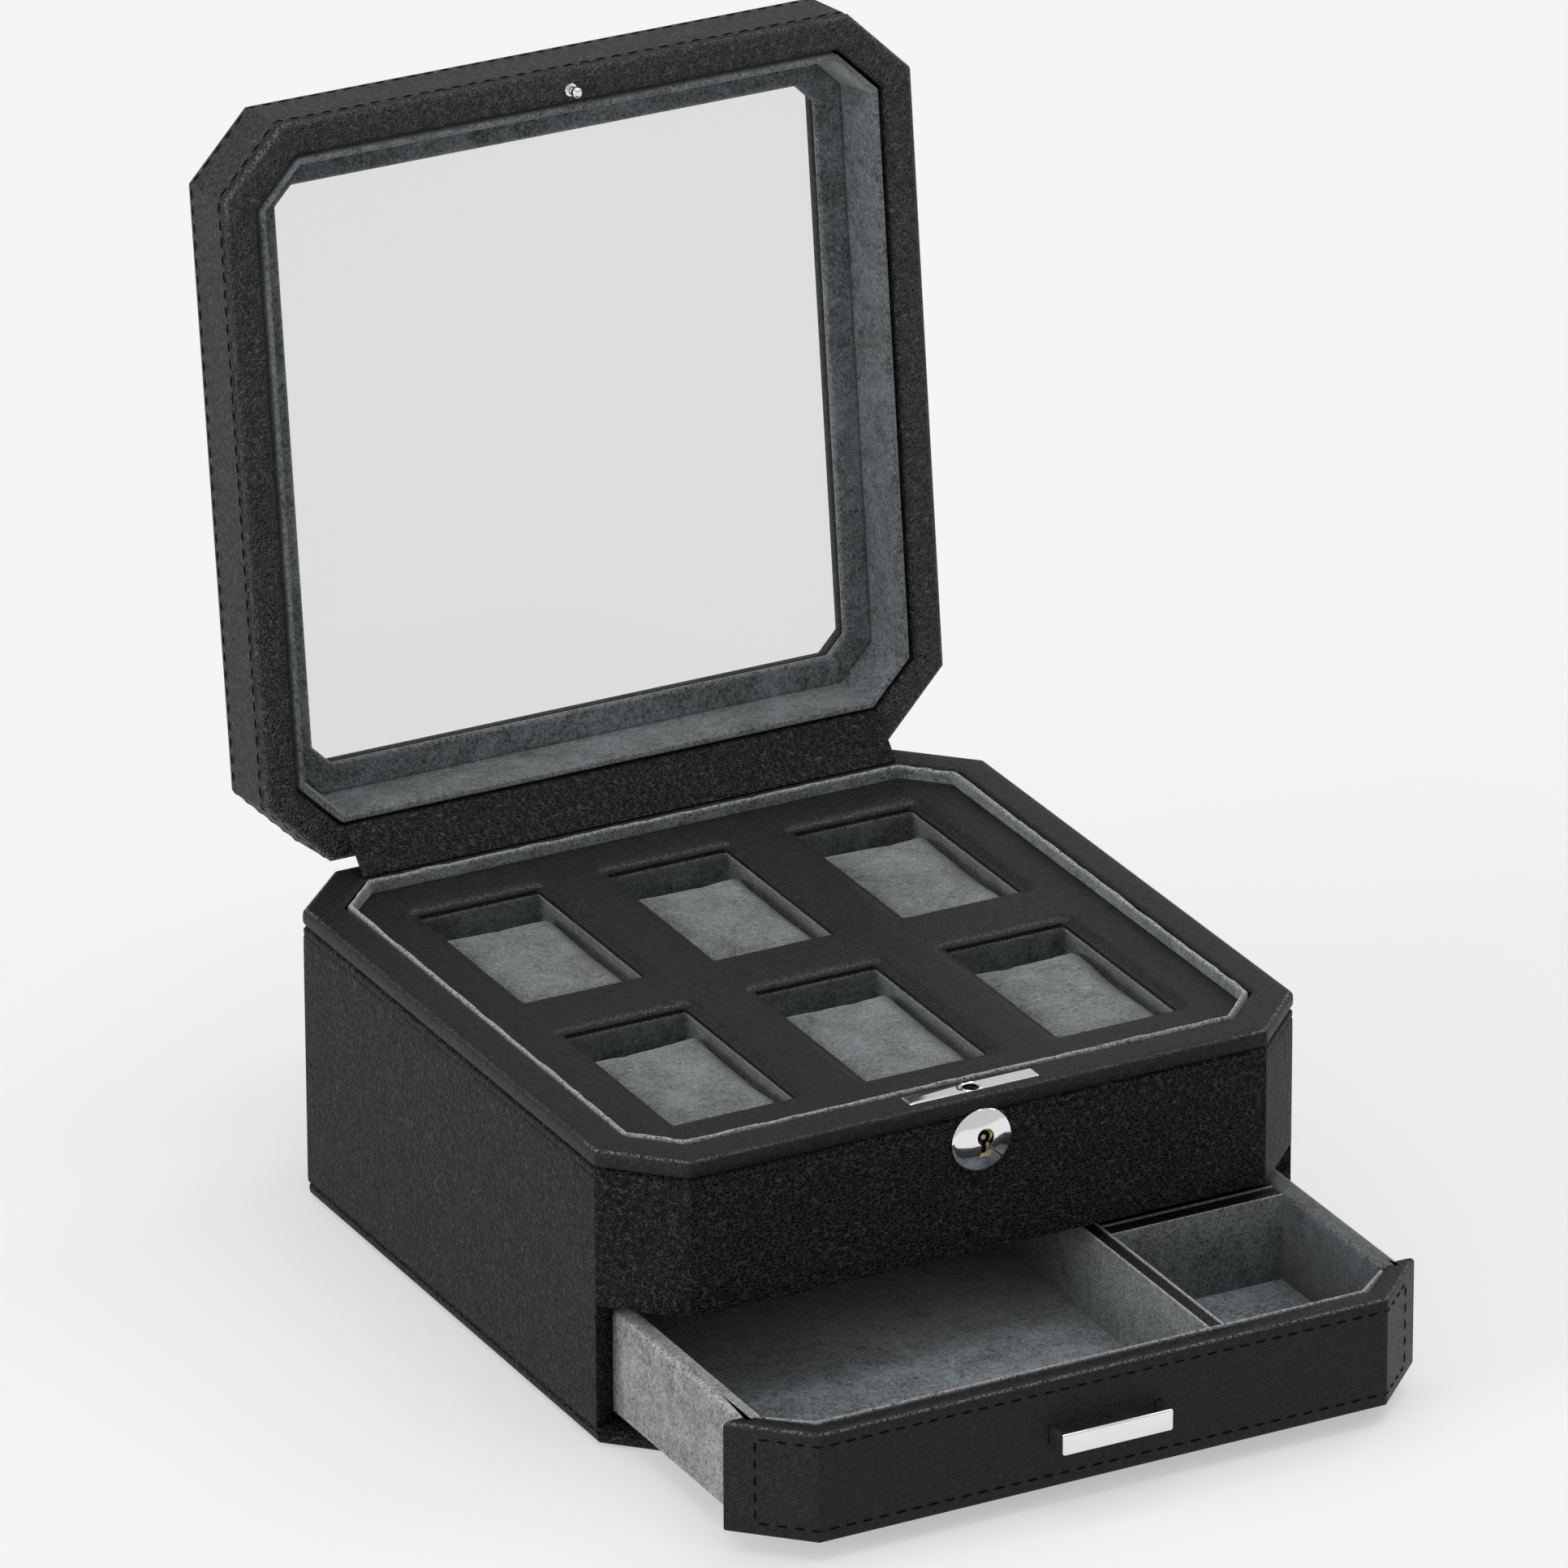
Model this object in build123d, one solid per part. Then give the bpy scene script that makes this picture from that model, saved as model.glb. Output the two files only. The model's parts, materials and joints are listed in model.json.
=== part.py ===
from build123d import *

import os
from math import cos, radians, sin, sqrt, tan

# A leather-covered watch box: an eight-sided case with six lined wells, a hinged lid with a
# glass window, a lock, and a drawer in the base.
# Origin: centre of the case's plan, at its underside. +X right, +Y back, +Z up. Millimetres.
# The rest position has the lid open on its leather stop and the drawer partly out.

# Driving dimensions
WIDTH = 235.0              # across the case, side to side
DEPTH = 235.0              # front to back
CHAMFER = 21.0             # leg of the 45 degree corners
RIM_HEIGHT = 96.6          # underside to the rim of the case
LID_HEIGHT = 26.5          # rim face to the top of the lid
LID_INSET = 0.7            # the lid is this much smaller on every side
RIM_GAP = 0.5              # between the two rims when closed
OPEN_ANGLE = 96.4          # where the leather flap stops the lid
DRAWER_OUT = 76.1          # how far the drawer stands out at rest

# Case
WALL = 7.0
FELT = 0.6
BASE_TOP = 5.8             # top of the base board
BAY_TOP = 46.0             # lower edge of the front fascia
SHELF_TOP = 50.0
RIM_WIDTH = 11.7
CAP_HEIGHT = 6.0           # height of the padded rim cap
LINING = 1.5               # suede on card
LINING_PROUD = 0.3         # the rim lining stands above the rim
LINING_DEPTH = 10.6
TRAY_GAP = 0.3             # tray frame to the rim lining
TRAY_BOTTOM = 88.0
TRAY_TOP = 93.5

# Wells and cushions
WELL_PITCH_X = 64.3
WELL_PITCH_Y = 96.6
WINDOW = (45.0, 75.0)      # opening in the tray frame
WELL = (49.0, 79.0)        # inside of a lined well
CUSHION = (44.0, 67.0)
CUSHION_SHIFT = 3.5        # towards the front, which leaves a gap behind each cushion
CUSHION_TOP = 88.0

# Lid, measured from its rim face
LID_RIM_WIDTH = 10.3
LID_RIM_HEIGHT = 3.0
LID_LINING_START = 0.4
LID_LEDGE_START = 18.3
LID_GLASS_START = 20.3
LID_TOP_START = 22.5
LID_OPENING = 185.0        # window in the ledge and in the top frame
LID_OPENING_CHAMFER = 6.5

# Hinges
HINGE_X = 60.0
HINGE_WIDTH = 30.0
KNUCKLE_RADIUS = 2.2
KNUCKLE_CLEAR = 2.5        # relief in the rims
HINGE_PIN_RADIUS = 1.0
HINGE_PIN_FIT = 0.04
KNUCKLE_GAP = 0.15         # half the gap between two knuckles
LEAF = 1.0
LEAF_FRONT = 107.6         # front edge of the leaves
LEAF_SETBACK = 1.2         # the flat of a leaf ends this far short of the pin's axis
HINGE_Y = 117.9
HINGE_Z = RIM_HEIGHT + RIM_GAP / 2
HINGE_SCREW_HEAD = 1.8
HINGE_SCREW_SHANK = 0.9
HINGE_SCREW_LENGTH = 5.2
HINGE_SCREW_SPREAD = 9.0   # from the middle of the hinge to each screw
HINGE_SCREW_SETBACK = 4.0  # from the front edge of the leaf

# Leather flap inside the hinges
FLAP_HALF = 91.5
FLAP = 0.8
FLAP_FRONT = 106.9         # its lower edge, on the rim of the case
FLAP_FOOT = 0.2            # height of that edge above the rim

# Lock
LOCK_Y = -110.3            # middle of the lock and of the lid's pin
LOCK_Z = 82.4              # middle of the tumbler
STRIKE = (43.5, 5.8, 1.15)
STRIKE_PROUD = 0.15
PIN_HOLE = 2.5
LOCK_BODY = (30.0, 5.6)
LOCK_BOTTOM = 74.0
LOCK_WALL = 1.1
LOCK_EAR = 1.2             # thickness of the ears
LOCK_EAR_HALF = 19.5
LOCK_SCREW_X = 17.2
DOME_RADIUS = 10.0         # the lock's round front plate
DOME_HEIGHT = 2.3
KEYHOLE_RADIUS = 2.75
KEYHOLE_RISE = 1.75        # the round of the keyhole is this far above the middle
KEYHOLE_SLOT = (1.35, 4.5)
TUMBLER_RADIUS = 4.9
TUMBLER_NECK = 3.4
KEY_POST_RISE = 1.2
LATCH_TRAVEL = 3.6
LATCH_FORK = (93.2, 94.6)
LATCH_NECK = 1.15          # half the width of the fork's slot
ARM_Z = (82.9, 86.4)
CRANK = LATCH_TRAVEL / 2 / sin(radians(45))
CRANK_PIN = 0.7
CRANK_SLOT = 1.0
PIN_FLANGE = (2.0, 1.0)    # radius and depth below the lid's rim face
PIN_SHAFT = (1.4, 2.4)
PIN_NECK = (1.0, 4.3)
PIN_HEAD = (1.65, 6.2)
PIN_STUD = (1.2, 7.0)
PIN_OVERLAP = 0.1          # how far each step of the pin runs into the next

# Drawer, in its closed place
DRAWER_FRONT_HALF = 115.2
DRAWER_FRONT_BACK = -96.9  # end face of the wrapped corners
DRAWER_FRONT_THICK = 6.5
DRAWER_FRONT_BOTTOM = 6.1
DRAWER_BOTTOM = 8.6
DRAWER_TOP = 41.4
DRAWER_HALF = 109.8
DRAWER_WALL = 7.0
DRAWER_REAR = 93.0
DRAWER_BACK_THICK = 6.0
DRAWER_FLOOR = 3.0
DIVIDER_TOP = 40.5
LONG_DIVIDER = (39.0, 44.5)
CROSS_DIVIDER = (-40.5, -33.5)
DRAWER_LINING = 1.2
JOINT_GAP = 0.05           # between the drawer's side walls and its front
LINER = ((-104.0, 104.0), (-98.0, 92.0))     # runner that the drawer slides on
LINER_GAP = 0.2
PULL = (38.5, 8.4, 7.0)
PULL_BAR = 3.0
PULL_LEG = 3.4
PULL_CORNER = 1.6
PULL_Z = 23.1

HALF_X = WIDTH / 2
HALF_Y = DEPTH / 2
SHOULDER = HALF_Y - CHAMFER            # where the side faces end
INSET_LEG = 2 - sqrt(2)                # how fast a 45 degree leg shrinks as an outline moves in
LID_FACE = RIM_HEIGHT + RIM_GAP        # the lid's rim face when closed
CAP_BOTTOM = RIM_HEIGHT - CAP_HEIGHT
MARGIN = 5.0                           # how far cutting tools run past what they cut

parts = {}


# ---- shapes used again and again ----

def block(x, y, z):
    """A box between two corners, given as pairs along each axis."""
    size = [high - low for low, high in (x, y, z)]
    middle = [(low + high) / 2 for low, high in (x, y, z)]
    return Pos(*middle) * Box(*size)


def prism(points, low, high):
    """A plan outline pulled up from one height to another."""
    return Pos(0, 0, low) * extrude(make_face(Polyline(*points, close=True)), amount=high - low)


def octagon(half_x, half_y, leg):
    """Corners of a rectangle with 45 degree corners."""
    x_in = half_x - leg
    y_in = half_y - leg
    return [
        (half_x, -y_in), (half_x, y_in), (x_in, half_y), (-x_in, half_y),
        (-half_x, y_in), (-half_x, -y_in), (-x_in, -half_y), (x_in, -half_y),
    ]


def case_plan(inset):
    return octagon(HALF_X - inset, HALF_Y - inset, CHAMFER - INSET_LEG * inset)


def lid_plan(inset):
    return case_plan(LID_INSET + inset)


def case_ring(outer, inner, low, high):
    hole = prism(case_plan(inner), low - MARGIN, high + MARGIN)
    return prism(case_plan(outer), low, high) - hole


def lid_opening(low, high):
    half = LID_OPENING / 2
    return prism(octagon(half, half, LID_OPENING_CHAMFER), low - MARGIN, high + MARGIN)


def rod(radius, low, high, x=0.0, y=0.0):
    """An upright cylinder."""
    return Pos(x, y, (low + high) / 2) * Cylinder(radius, high - low)


def rod_x(radius, low, high, y, z):
    return Pos((low + high) / 2, y, z) * Rot(0, 90, 0) * Cylinder(radius, high - low)


def rod_y(radius, low, high, x, z):
    return Pos(x, (low + high) / 2, z) * Rot(90, 0, 0) * Cylinder(radius, high - low)


def joined(pieces):
    """Several separate solids as one shape."""
    return Compound(children=[solid for piece in pieces for solid in piece.solids()])


# ---- hinges ----

def knuckle(middle, low, high):
    bore = rod_x(HINGE_PIN_RADIUS + HINGE_PIN_FIT, middle + low - 1, middle + high + 1, HINGE_Y, HINGE_Z)
    return rod_x(KNUCKLE_RADIUS, middle + low, middle + high, HINGE_Y, HINGE_Z) - bore


def knuckle_spans():
    """Outer two knuckles for the case and the middle one for the lid, with gaps between."""
    half = HINGE_WIDTH / 2
    outer = HINGE_WIDTH / 6 + KNUCKLE_GAP
    inner = HINGE_WIDTH / 6 - KNUCKLE_GAP
    return [(-half, -outer), (outer, half)], [(-inner, inner)]


def leaf(middle, low, own_spans, other_spans):
    """One flat leaf with its knuckles, notched where the other leaf's knuckles turn."""
    half = HINGE_WIDTH / 2
    y = (LEAF_FRONT, HINGE_Y - LEAF_SETBACK)
    plate = block((middle - half, middle + half), y, (low, low + LEAF))
    room = 2 * KNUCKLE_GAP
    for start, end in other_spans:
        x = (middle + start - room, middle + end + room)
        plate -= block(x, (HINGE_Y - KNUCKLE_CLEAR, HINGE_Y + MARGIN), (low - MARGIN, low + MARGIN))
    for start, end in own_spans:
        plate += knuckle(middle, start, end)
    return plate


def hinge_screw(x, face, direction):
    """A countersunk screw let into a leaf, pointing up or down from the leaf's face."""
    radii = [HINGE_SCREW_HEAD, HINGE_SCREW_SHANK][::direction]
    y = LEAF_FRONT + HINGE_SCREW_SETBACK
    cone = Cone(*radii, LEAF)
    far = face + direction * HINGE_SCREW_LENGTH
    stem = rod(HINGE_SCREW_SHANK, min(face, far), max(face, far), x, y)
    return stem + Pos(x, y, face + direction * LEAF / 2) * cone


def hinge_pocket(low, high):
    """Room for both leaves and the knuckles, cut from a rim between two heights."""
    half = HINGE_WIDTH / 2 + 0.2
    cuts = []
    for middle in (-HINGE_X, HINGE_X):
        x = (middle - half, middle + half)
        cuts.append(block(x, (LEAF_FRONT - 0.1, HINGE_Y + MARGIN), (low, high)))
        cuts.append(rod_x(KNUCKLE_CLEAR, *x, HINGE_Y, HINGE_Z))
    return cuts


hinge_middles = {"left": -HINGE_X, "right": HINGE_X}
case_spans, lid_spans = knuckle_spans()
screw_places = [
    middle + side * HINGE_SCREW_SPREAD for middle in (-HINGE_X, HINGE_X) for side in (-1, 1)
]
case_screws = [hinge_screw(x, RIM_HEIGHT, -1) for x in screw_places]
lid_screws = [hinge_screw(x, LID_FACE, 1) for x in screw_places]


# ---- case ----

def make_case():
    parts["base_felt"] = prism(case_plan(4), 0, FELT)
    parts["base_board"] = prism(case_plan(0), FELT, BASE_TOP)

    side_y = (-SHOULDER, SHOULDER)
    side_z = (BASE_TOP, CAP_BOTTOM)
    parts["side_wall_left"] = block((-HALF_X, WALL - HALF_X), side_y, side_z)
    parts["side_wall_right"] = block((HALF_X - WALL, HALF_X), side_y, side_z)

    everywhere = (-WIDTH, WIDTH)
    behind = block(everywhere, (SHOULDER, DEPTH), everywhere)
    ahead = block(everywhere, (-DEPTH, -SHOULDER), everywhere)
    parts["back_wall"] = case_ring(0, WALL, BASE_TOP, CAP_BOTTOM) & behind

    lock_room = block(
        (-LOCK_BODY[0] / 2 - 0.3, LOCK_BODY[0] / 2 + 0.3),
        (LOCK_Y - LOCK_BODY[1] / 2 - 0.2, LOCK_Y + LOCK_BODY[1] / 2 + 0.2),
        (LOCK_BOTTOM - 0.3, RIM_HEIGHT + MARGIN),
    )
    barrel_room = rod_y(5.2, -HALF_Y - MARGIN, -HALF_Y + WALL - 1, 0, LOCK_Z)
    fascia = case_ring(0, WALL, BAY_TOP, CAP_BOTTOM) & ahead
    fascia = fascia - lock_room - barrel_room
    for screw in lock_screws():
        fascia -= screw
    parts["front_fascia"] = fascia

    shelf_inset = WALL + 0.2
    parts["middle_shelf"] = prism(case_plan(shelf_inset), BAY_TOP, SHELF_TOP)
    parts["bay_liner"] = block(*LINER, (BASE_TOP, DRAWER_BOTTOM - LINER_GAP))

    strike_room = block(
        (-STRIKE[0] / 2 - 0.1, STRIKE[0] / 2 + 0.1),
        (LOCK_Y - STRIKE[1] / 2 - 0.1, LOCK_Y + STRIKE[1] / 2 + 0.1),
        (RIM_HEIGHT + STRIKE_PROUD - STRIKE[2] - 0.05, RIM_HEIGHT + MARGIN),
    )
    cap = case_ring(0, RIM_WIDTH, CAP_BOTTOM, RIM_HEIGHT) - lock_room - strike_room
    for cut in hinge_pocket(RIM_HEIGHT - LEAF, RIM_HEIGHT + MARGIN) + case_screws:
        cap -= cut
    parts["rim_cap"] = cap

    parts["rim_lining"] = case_ring(
        RIM_WIDTH, RIM_WIDTH + LINING, RIM_HEIGHT - LINING_DEPTH, RIM_HEIGHT + LINING_PROUD
    )


# ---- wells, tray and cushions ----

def well_places():
    """Middles of the six wells, left to right, front row first."""
    return [
        (column * WELL_PITCH_X, row * WELL_PITCH_Y / 2)
        for row in (-1, 1)
        for column in (-1, 0, 1)
    ]


def spread(middle, size):
    return (middle - size / 2, middle + size / 2)


def make_wells():
    tray = prism(case_plan(RIM_WIDTH + LINING + TRAY_GAP), TRAY_BOTTOM, TRAY_TOP)
    for number, (x, y) in enumerate(well_places(), start=1):
        window = block(
            spread(x, WINDOW[0]), spread(y, WINDOW[1]), (TRAY_BOTTOM - MARGIN, TRAY_TOP + MARGIN)
        )
        tray -= window
        outside = [size + 2 * LINING for size in WELL]
        shell = block(spread(x, outside[0]), spread(y, outside[1]), (SHELF_TOP, TRAY_BOTTOM))
        inside = block(
            spread(x, WELL[0]), spread(y, WELL[1]), (SHELF_TOP + 1, TRAY_BOTTOM + MARGIN)
        )
        parts[f"well_lining_{number}"] = shell - inside
        pad = block(
            spread(x, CUSHION[0]),
            spread(y - CUSHION_SHIFT, CUSHION[1]),
            (SHELF_TOP + 1, CUSHION_TOP),
        )
        pad = fillet(pad.edges().filter_by(Axis.Z), 3)
        parts[f"cushion_{number}"] = fillet(pad.faces().sort_by(Axis.Z)[-1].edges(), 2.5)
    parts["tray_frame"] = tray


# ---- lock ----

def lock_screws():
    """Two screws through the ears of the lock body into the fascia."""
    inner_face = WALL - HALF_Y
    head_face = inner_face + LOCK_EAR
    screws = []
    for x in (-LOCK_SCREW_X, LOCK_SCREW_X):
        head = rod_y(1.8, head_face, head_face + 1.0, x, LOCK_Z)
        shank = rod_y(1.0, inner_face - 5.0, head_face, x, LOCK_Z)
        screws.append(head + shank)
    return screws


def make_lock():
    half_x = LOCK_BODY[0] / 2
    front = LOCK_Y - LOCK_BODY[1] / 2
    back = LOCK_Y + LOCK_BODY[1] / 2
    top = RIM_HEIGHT + STRIKE_PROUD - STRIKE[2]

    body = block((-half_x, half_x), (front, back), (LOCK_BOTTOM, top))
    cavity = block(
        (LOCK_WALL - half_x, half_x - LOCK_WALL),
        (front + LOCK_WALL, back - LOCK_WALL),
        (LOCK_BOTTOM + LOCK_WALL, top - LOCK_WALL + 0.2),
    )
    body -= cavity
    body -= rod(PIN_HOLE, top - MARGIN, top + MARGIN, 0, LOCK_Y)
    body -= rod_y(TUMBLER_NECK + 0.05, front - 1, front + LOCK_WALL + 0.1, 0, LOCK_Z)
    inner_face = WALL - HALF_Y
    ears = block(
        (-LOCK_EAR_HALF, LOCK_EAR_HALF), (inner_face, inner_face + LOCK_EAR), (LOCK_Z - 3, LOCK_Z + 3)
    )
    body += ears - block((-half_x, half_x), (front, back), (LOCK_BOTTOM, top))
    for screw in lock_screws():
        body -= screw
    parts["lock_body"] = body
    parts["lock_screws"] = joined(lock_screws())

    strike = block(spread(0, STRIKE[0]), spread(LOCK_Y, STRIKE[1]), (top, top + STRIKE[2]))
    strike = chamfer(strike.faces().sort_by(Axis.Z)[-1].edges(), 0.25)
    strike -= rod(PIN_HOLE, top - 1, RIM_HEIGHT + 1, 0, LOCK_Y)
    sink = Pos(0, LOCK_Y, RIM_HEIGHT + STRIKE_PROUD - 0.2) * Cone(PIN_HOLE, PIN_HOLE + 0.5, 0.4)
    parts["strike_plate"] = strike - sink

    # Chrome dome on the front, with the keyhole in it and a pocket for the tumbler behind
    face = -HALF_Y
    sphere = (DOME_RADIUS**2 + DOME_HEIGHT**2) / (2 * DOME_HEIGHT)
    ball = Pos(0, face - DOME_HEIGHT + sphere, LOCK_Z) * Sphere(sphere)
    dome = ball & rod_y(DOME_RADIUS, face - DOME_HEIGHT - 1, face, 0, LOCK_Z)
    round_z = LOCK_Z + KEYHOLE_RISE
    slot_x, slot_drop = KEYHOLE_SLOT
    keyhole = rod_y(KEYHOLE_RADIUS, face - MARGIN, face + 1, 0, round_z)
    keyhole += block((-slot_x, slot_x), (face - MARGIN, face + 1), (LOCK_Z - slot_drop, round_z))
    pocket = rod_y(TUMBLER_RADIUS + 0.3, face - 1.0, face + 1, 0, LOCK_Z)
    parts["escutcheon"] = dome - keyhole - pocket

    # Brass tumbler: barrel with a key post, neck through the lock body, and a crank pin for the latch
    tumbler_front = face - 0.8
    bottom = face + 2.0
    post_z = LOCK_Z + KEY_POST_RISE
    barrel = rod_y(TUMBLER_RADIUS, tumbler_front, front - 0.3, 0, LOCK_Z)
    barrel -= rod_y(2.3, face - 2, bottom, 0, post_z)
    barrel -= block((-0.9, 0.9), (face - 2, bottom), (LOCK_Z - 4.0, LOCK_Z))
    barrel += rod_y(0.8, tumbler_front, bottom + 0.2, 0, post_z)
    neck = rod_y(TUMBLER_NECK, front - 0.4, LOCK_Y - 0.7, 0, LOCK_Z)
    offset = CRANK * sin(radians(45))
    crank_pin = rod_y(CRANK_PIN, LOCK_Y - 0.8, LOCK_Y + 1.3, offset, LOCK_Z + offset)
    parts["lock_tumbler"] = barrel + neck + crank_pin

    # Sliding latch: a fork that closes round the neck of the lid's pin, and an arm to the crank
    low, high = LATCH_FORK
    fork = block((2.6, 12.5), (LOCK_Y - 1.7, LOCK_Y + 1.7), LATCH_FORK)
    fork -= block((2.0, LATCH_TRAVEL), spread(LOCK_Y, 2 * LATCH_NECK), (low - 1, high + 1))
    fork -= rod(LATCH_NECK, low - 1, high + 1, LATCH_TRAVEL, LOCK_Y)
    arm_y = (LOCK_Y - 0.4, LOCK_Y + 1.1)
    arm = block((6.0, 9.5), arm_y, (ARM_Z[0], low + 0.4))
    arm += block((-0.6, 6.2), arm_y, ARM_Z)
    slot = block(
        spread(offset, 2 * CRANK_SLOT), (arm_y[0] - 1, arm_y[1] + 1), (ARM_Z[0] - 1, ARM_Z[1] - 0.5)
    )
    parts["latch"] = fork + arm - slot


# ---- lid, built closed ----

def make_lid():
    face = LID_FACE
    lid = {}

    def ring(outer, inner, low, high):
        hole = prism(lid_plan(inner), face + low - MARGIN, face + high + MARGIN)
        return prism(lid_plan(outer), face + low, face + high) - hole

    # Pin: flange on the rim face, shaft with a groove, domed head, and a stud into the rim
    pin = rod(PIN_FLANGE[0], face - PIN_FLANGE[1], face, 0, LOCK_Y)
    above = PIN_FLANGE[1]
    for radius, depth in (PIN_SHAFT, PIN_NECK):
        pin += rod(radius, face - depth, face - above + PIN_OVERLAP, 0, LOCK_Y)
        above = depth
    head = rod(PIN_HEAD[0], face - PIN_HEAD[1], face - above + PIN_OVERLAP, 0, LOCK_Y)
    pin += fillet(head.faces().sort_by(Axis.Z)[0].edges(), 1.2)
    stud = rod(PIN_STUD[0], face, face + PIN_STUD[1], 0, LOCK_Y)
    lid["lid_pin"] = pin + stud

    rim = ring(0, LID_RIM_WIDTH, 0, LID_RIM_HEIGHT) - stud
    frame = ring(0, LID_RIM_WIDTH, LID_RIM_HEIGHT, LID_TOP_START) - stud
    for cut in hinge_pocket(face - MARGIN, face + LEAF) + lid_screws:
        rim -= cut
        frame -= cut
    lid["lid_rim"] = rim
    lid["lid_frame"] = frame

    top = prism(lid_plan(0), face + LID_TOP_START, face + LID_HEIGHT)
    top = chamfer(top.faces().sort_by(Axis.Z)[-1].edges(), 0.8)
    lid["lid_top_frame"] = top - lid_opening(face + LID_TOP_START, face + LID_HEIGHT)

    tuck = LID_RIM_WIDTH + 0.3
    ledge = prism(lid_plan(tuck + 0.2), face + LID_LEDGE_START, face + LID_GLASS_START)
    lid["lid_ledge"] = ledge - lid_opening(face + LID_LEDGE_START, face + LID_GLASS_START)
    lid["lid_glass"] = prism(lid_plan(tuck + 0.5), face + LID_GLASS_START, face + LID_TOP_START)
    lid["lid_lining"] = ring(tuck - 0.1, tuck - 0.1 + LINING, LID_LINING_START, LID_LEDGE_START)

    for side, middle in hinge_middles.items():
        plate = leaf(middle, face, lid_spans, case_spans)
        for screw in lid_screws:
            plate -= screw
        lid[f"hinge_leaf_lid_{side}"] = plate
    lid["hinge_screws_lid"] = joined(lid_screws)

    opened = Pos(0, HINGE_Y, HINGE_Z) * Rot(-OPEN_ANGLE, 0, 0) * Pos(0, -HINGE_Y, -HINGE_Z)
    for name, shape in lid.items():
        parts[name] = opened * shape


def make_hinges():
    for side, middle in hinge_middles.items():
        plate = leaf(middle, RIM_HEIGHT - LEAF, case_spans, lid_spans)
        for screw in case_screws:
            plate -= screw
        parts[f"hinge_leaf_case_{side}"] = plate
        half = HINGE_WIDTH / 2
        parts[f"hinge_pin_{side}"] = rod_x(
            HINGE_PIN_RADIUS, middle - half, middle + half, HINGE_Y, HINGE_Z
        )
    parts["hinge_screws_case"] = joined(case_screws)

    # The flap is taut with the lid open: it hides the hinges and stops the lid
    low = (FLAP_FRONT, RIM_HEIGHT + FLAP_FOOT)
    angle = radians(OPEN_ANGLE)
    reach = HINGE_Y - FLAP_FRONT - 0.1
    high = (HINGE_Y - reach * cos(angle) - 0.35, HINGE_Z + reach * sin(angle) + 0.1)
    outline = [low, high, (high[0] - 0.5, high[1] + FLAP), (low[0] - FLAP, low[1])]
    flap = make_face(Polyline(*[(0, y, z) for y, z in outline], close=True))
    parts["hinge_flap"] = extrude(flap, amount=FLAP_HALF, dir=(1, 0, 0), both=True)


# ---- drawer, built closed ----

def front_plan(inset):
    """Outline of the drawer front: a straight run with a 45 degree corner at each end."""
    leg = DRAWER_FRONT_BACK + HALF_Y
    half = DRAWER_FRONT_HALF
    shift = inset * tan(radians(22.5))
    x_end = half - inset * sqrt(2)
    x_corner = half - leg - shift
    y_face = inset - HALF_Y
    return [
        (-x_end, DRAWER_FRONT_BACK), (-x_corner, y_face), (x_corner, y_face), (x_end, DRAWER_FRONT_BACK)
    ]


def inner_floor(inset, rear):
    """Outline of what lies inside the drawer's walls and front."""
    half = DRAWER_HALF - DRAWER_WALL - inset
    corner = front_plan(DRAWER_FRONT_THICK + inset)
    x_corner = corner[2][0]
    y_face = corner[2][1]
    y_side = y_face + half - x_corner
    return [
        (-half, rear), (-half, y_side), (-x_corner, y_face), (x_corner, y_face), (half, y_side), (half, rear)
    ]


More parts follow.
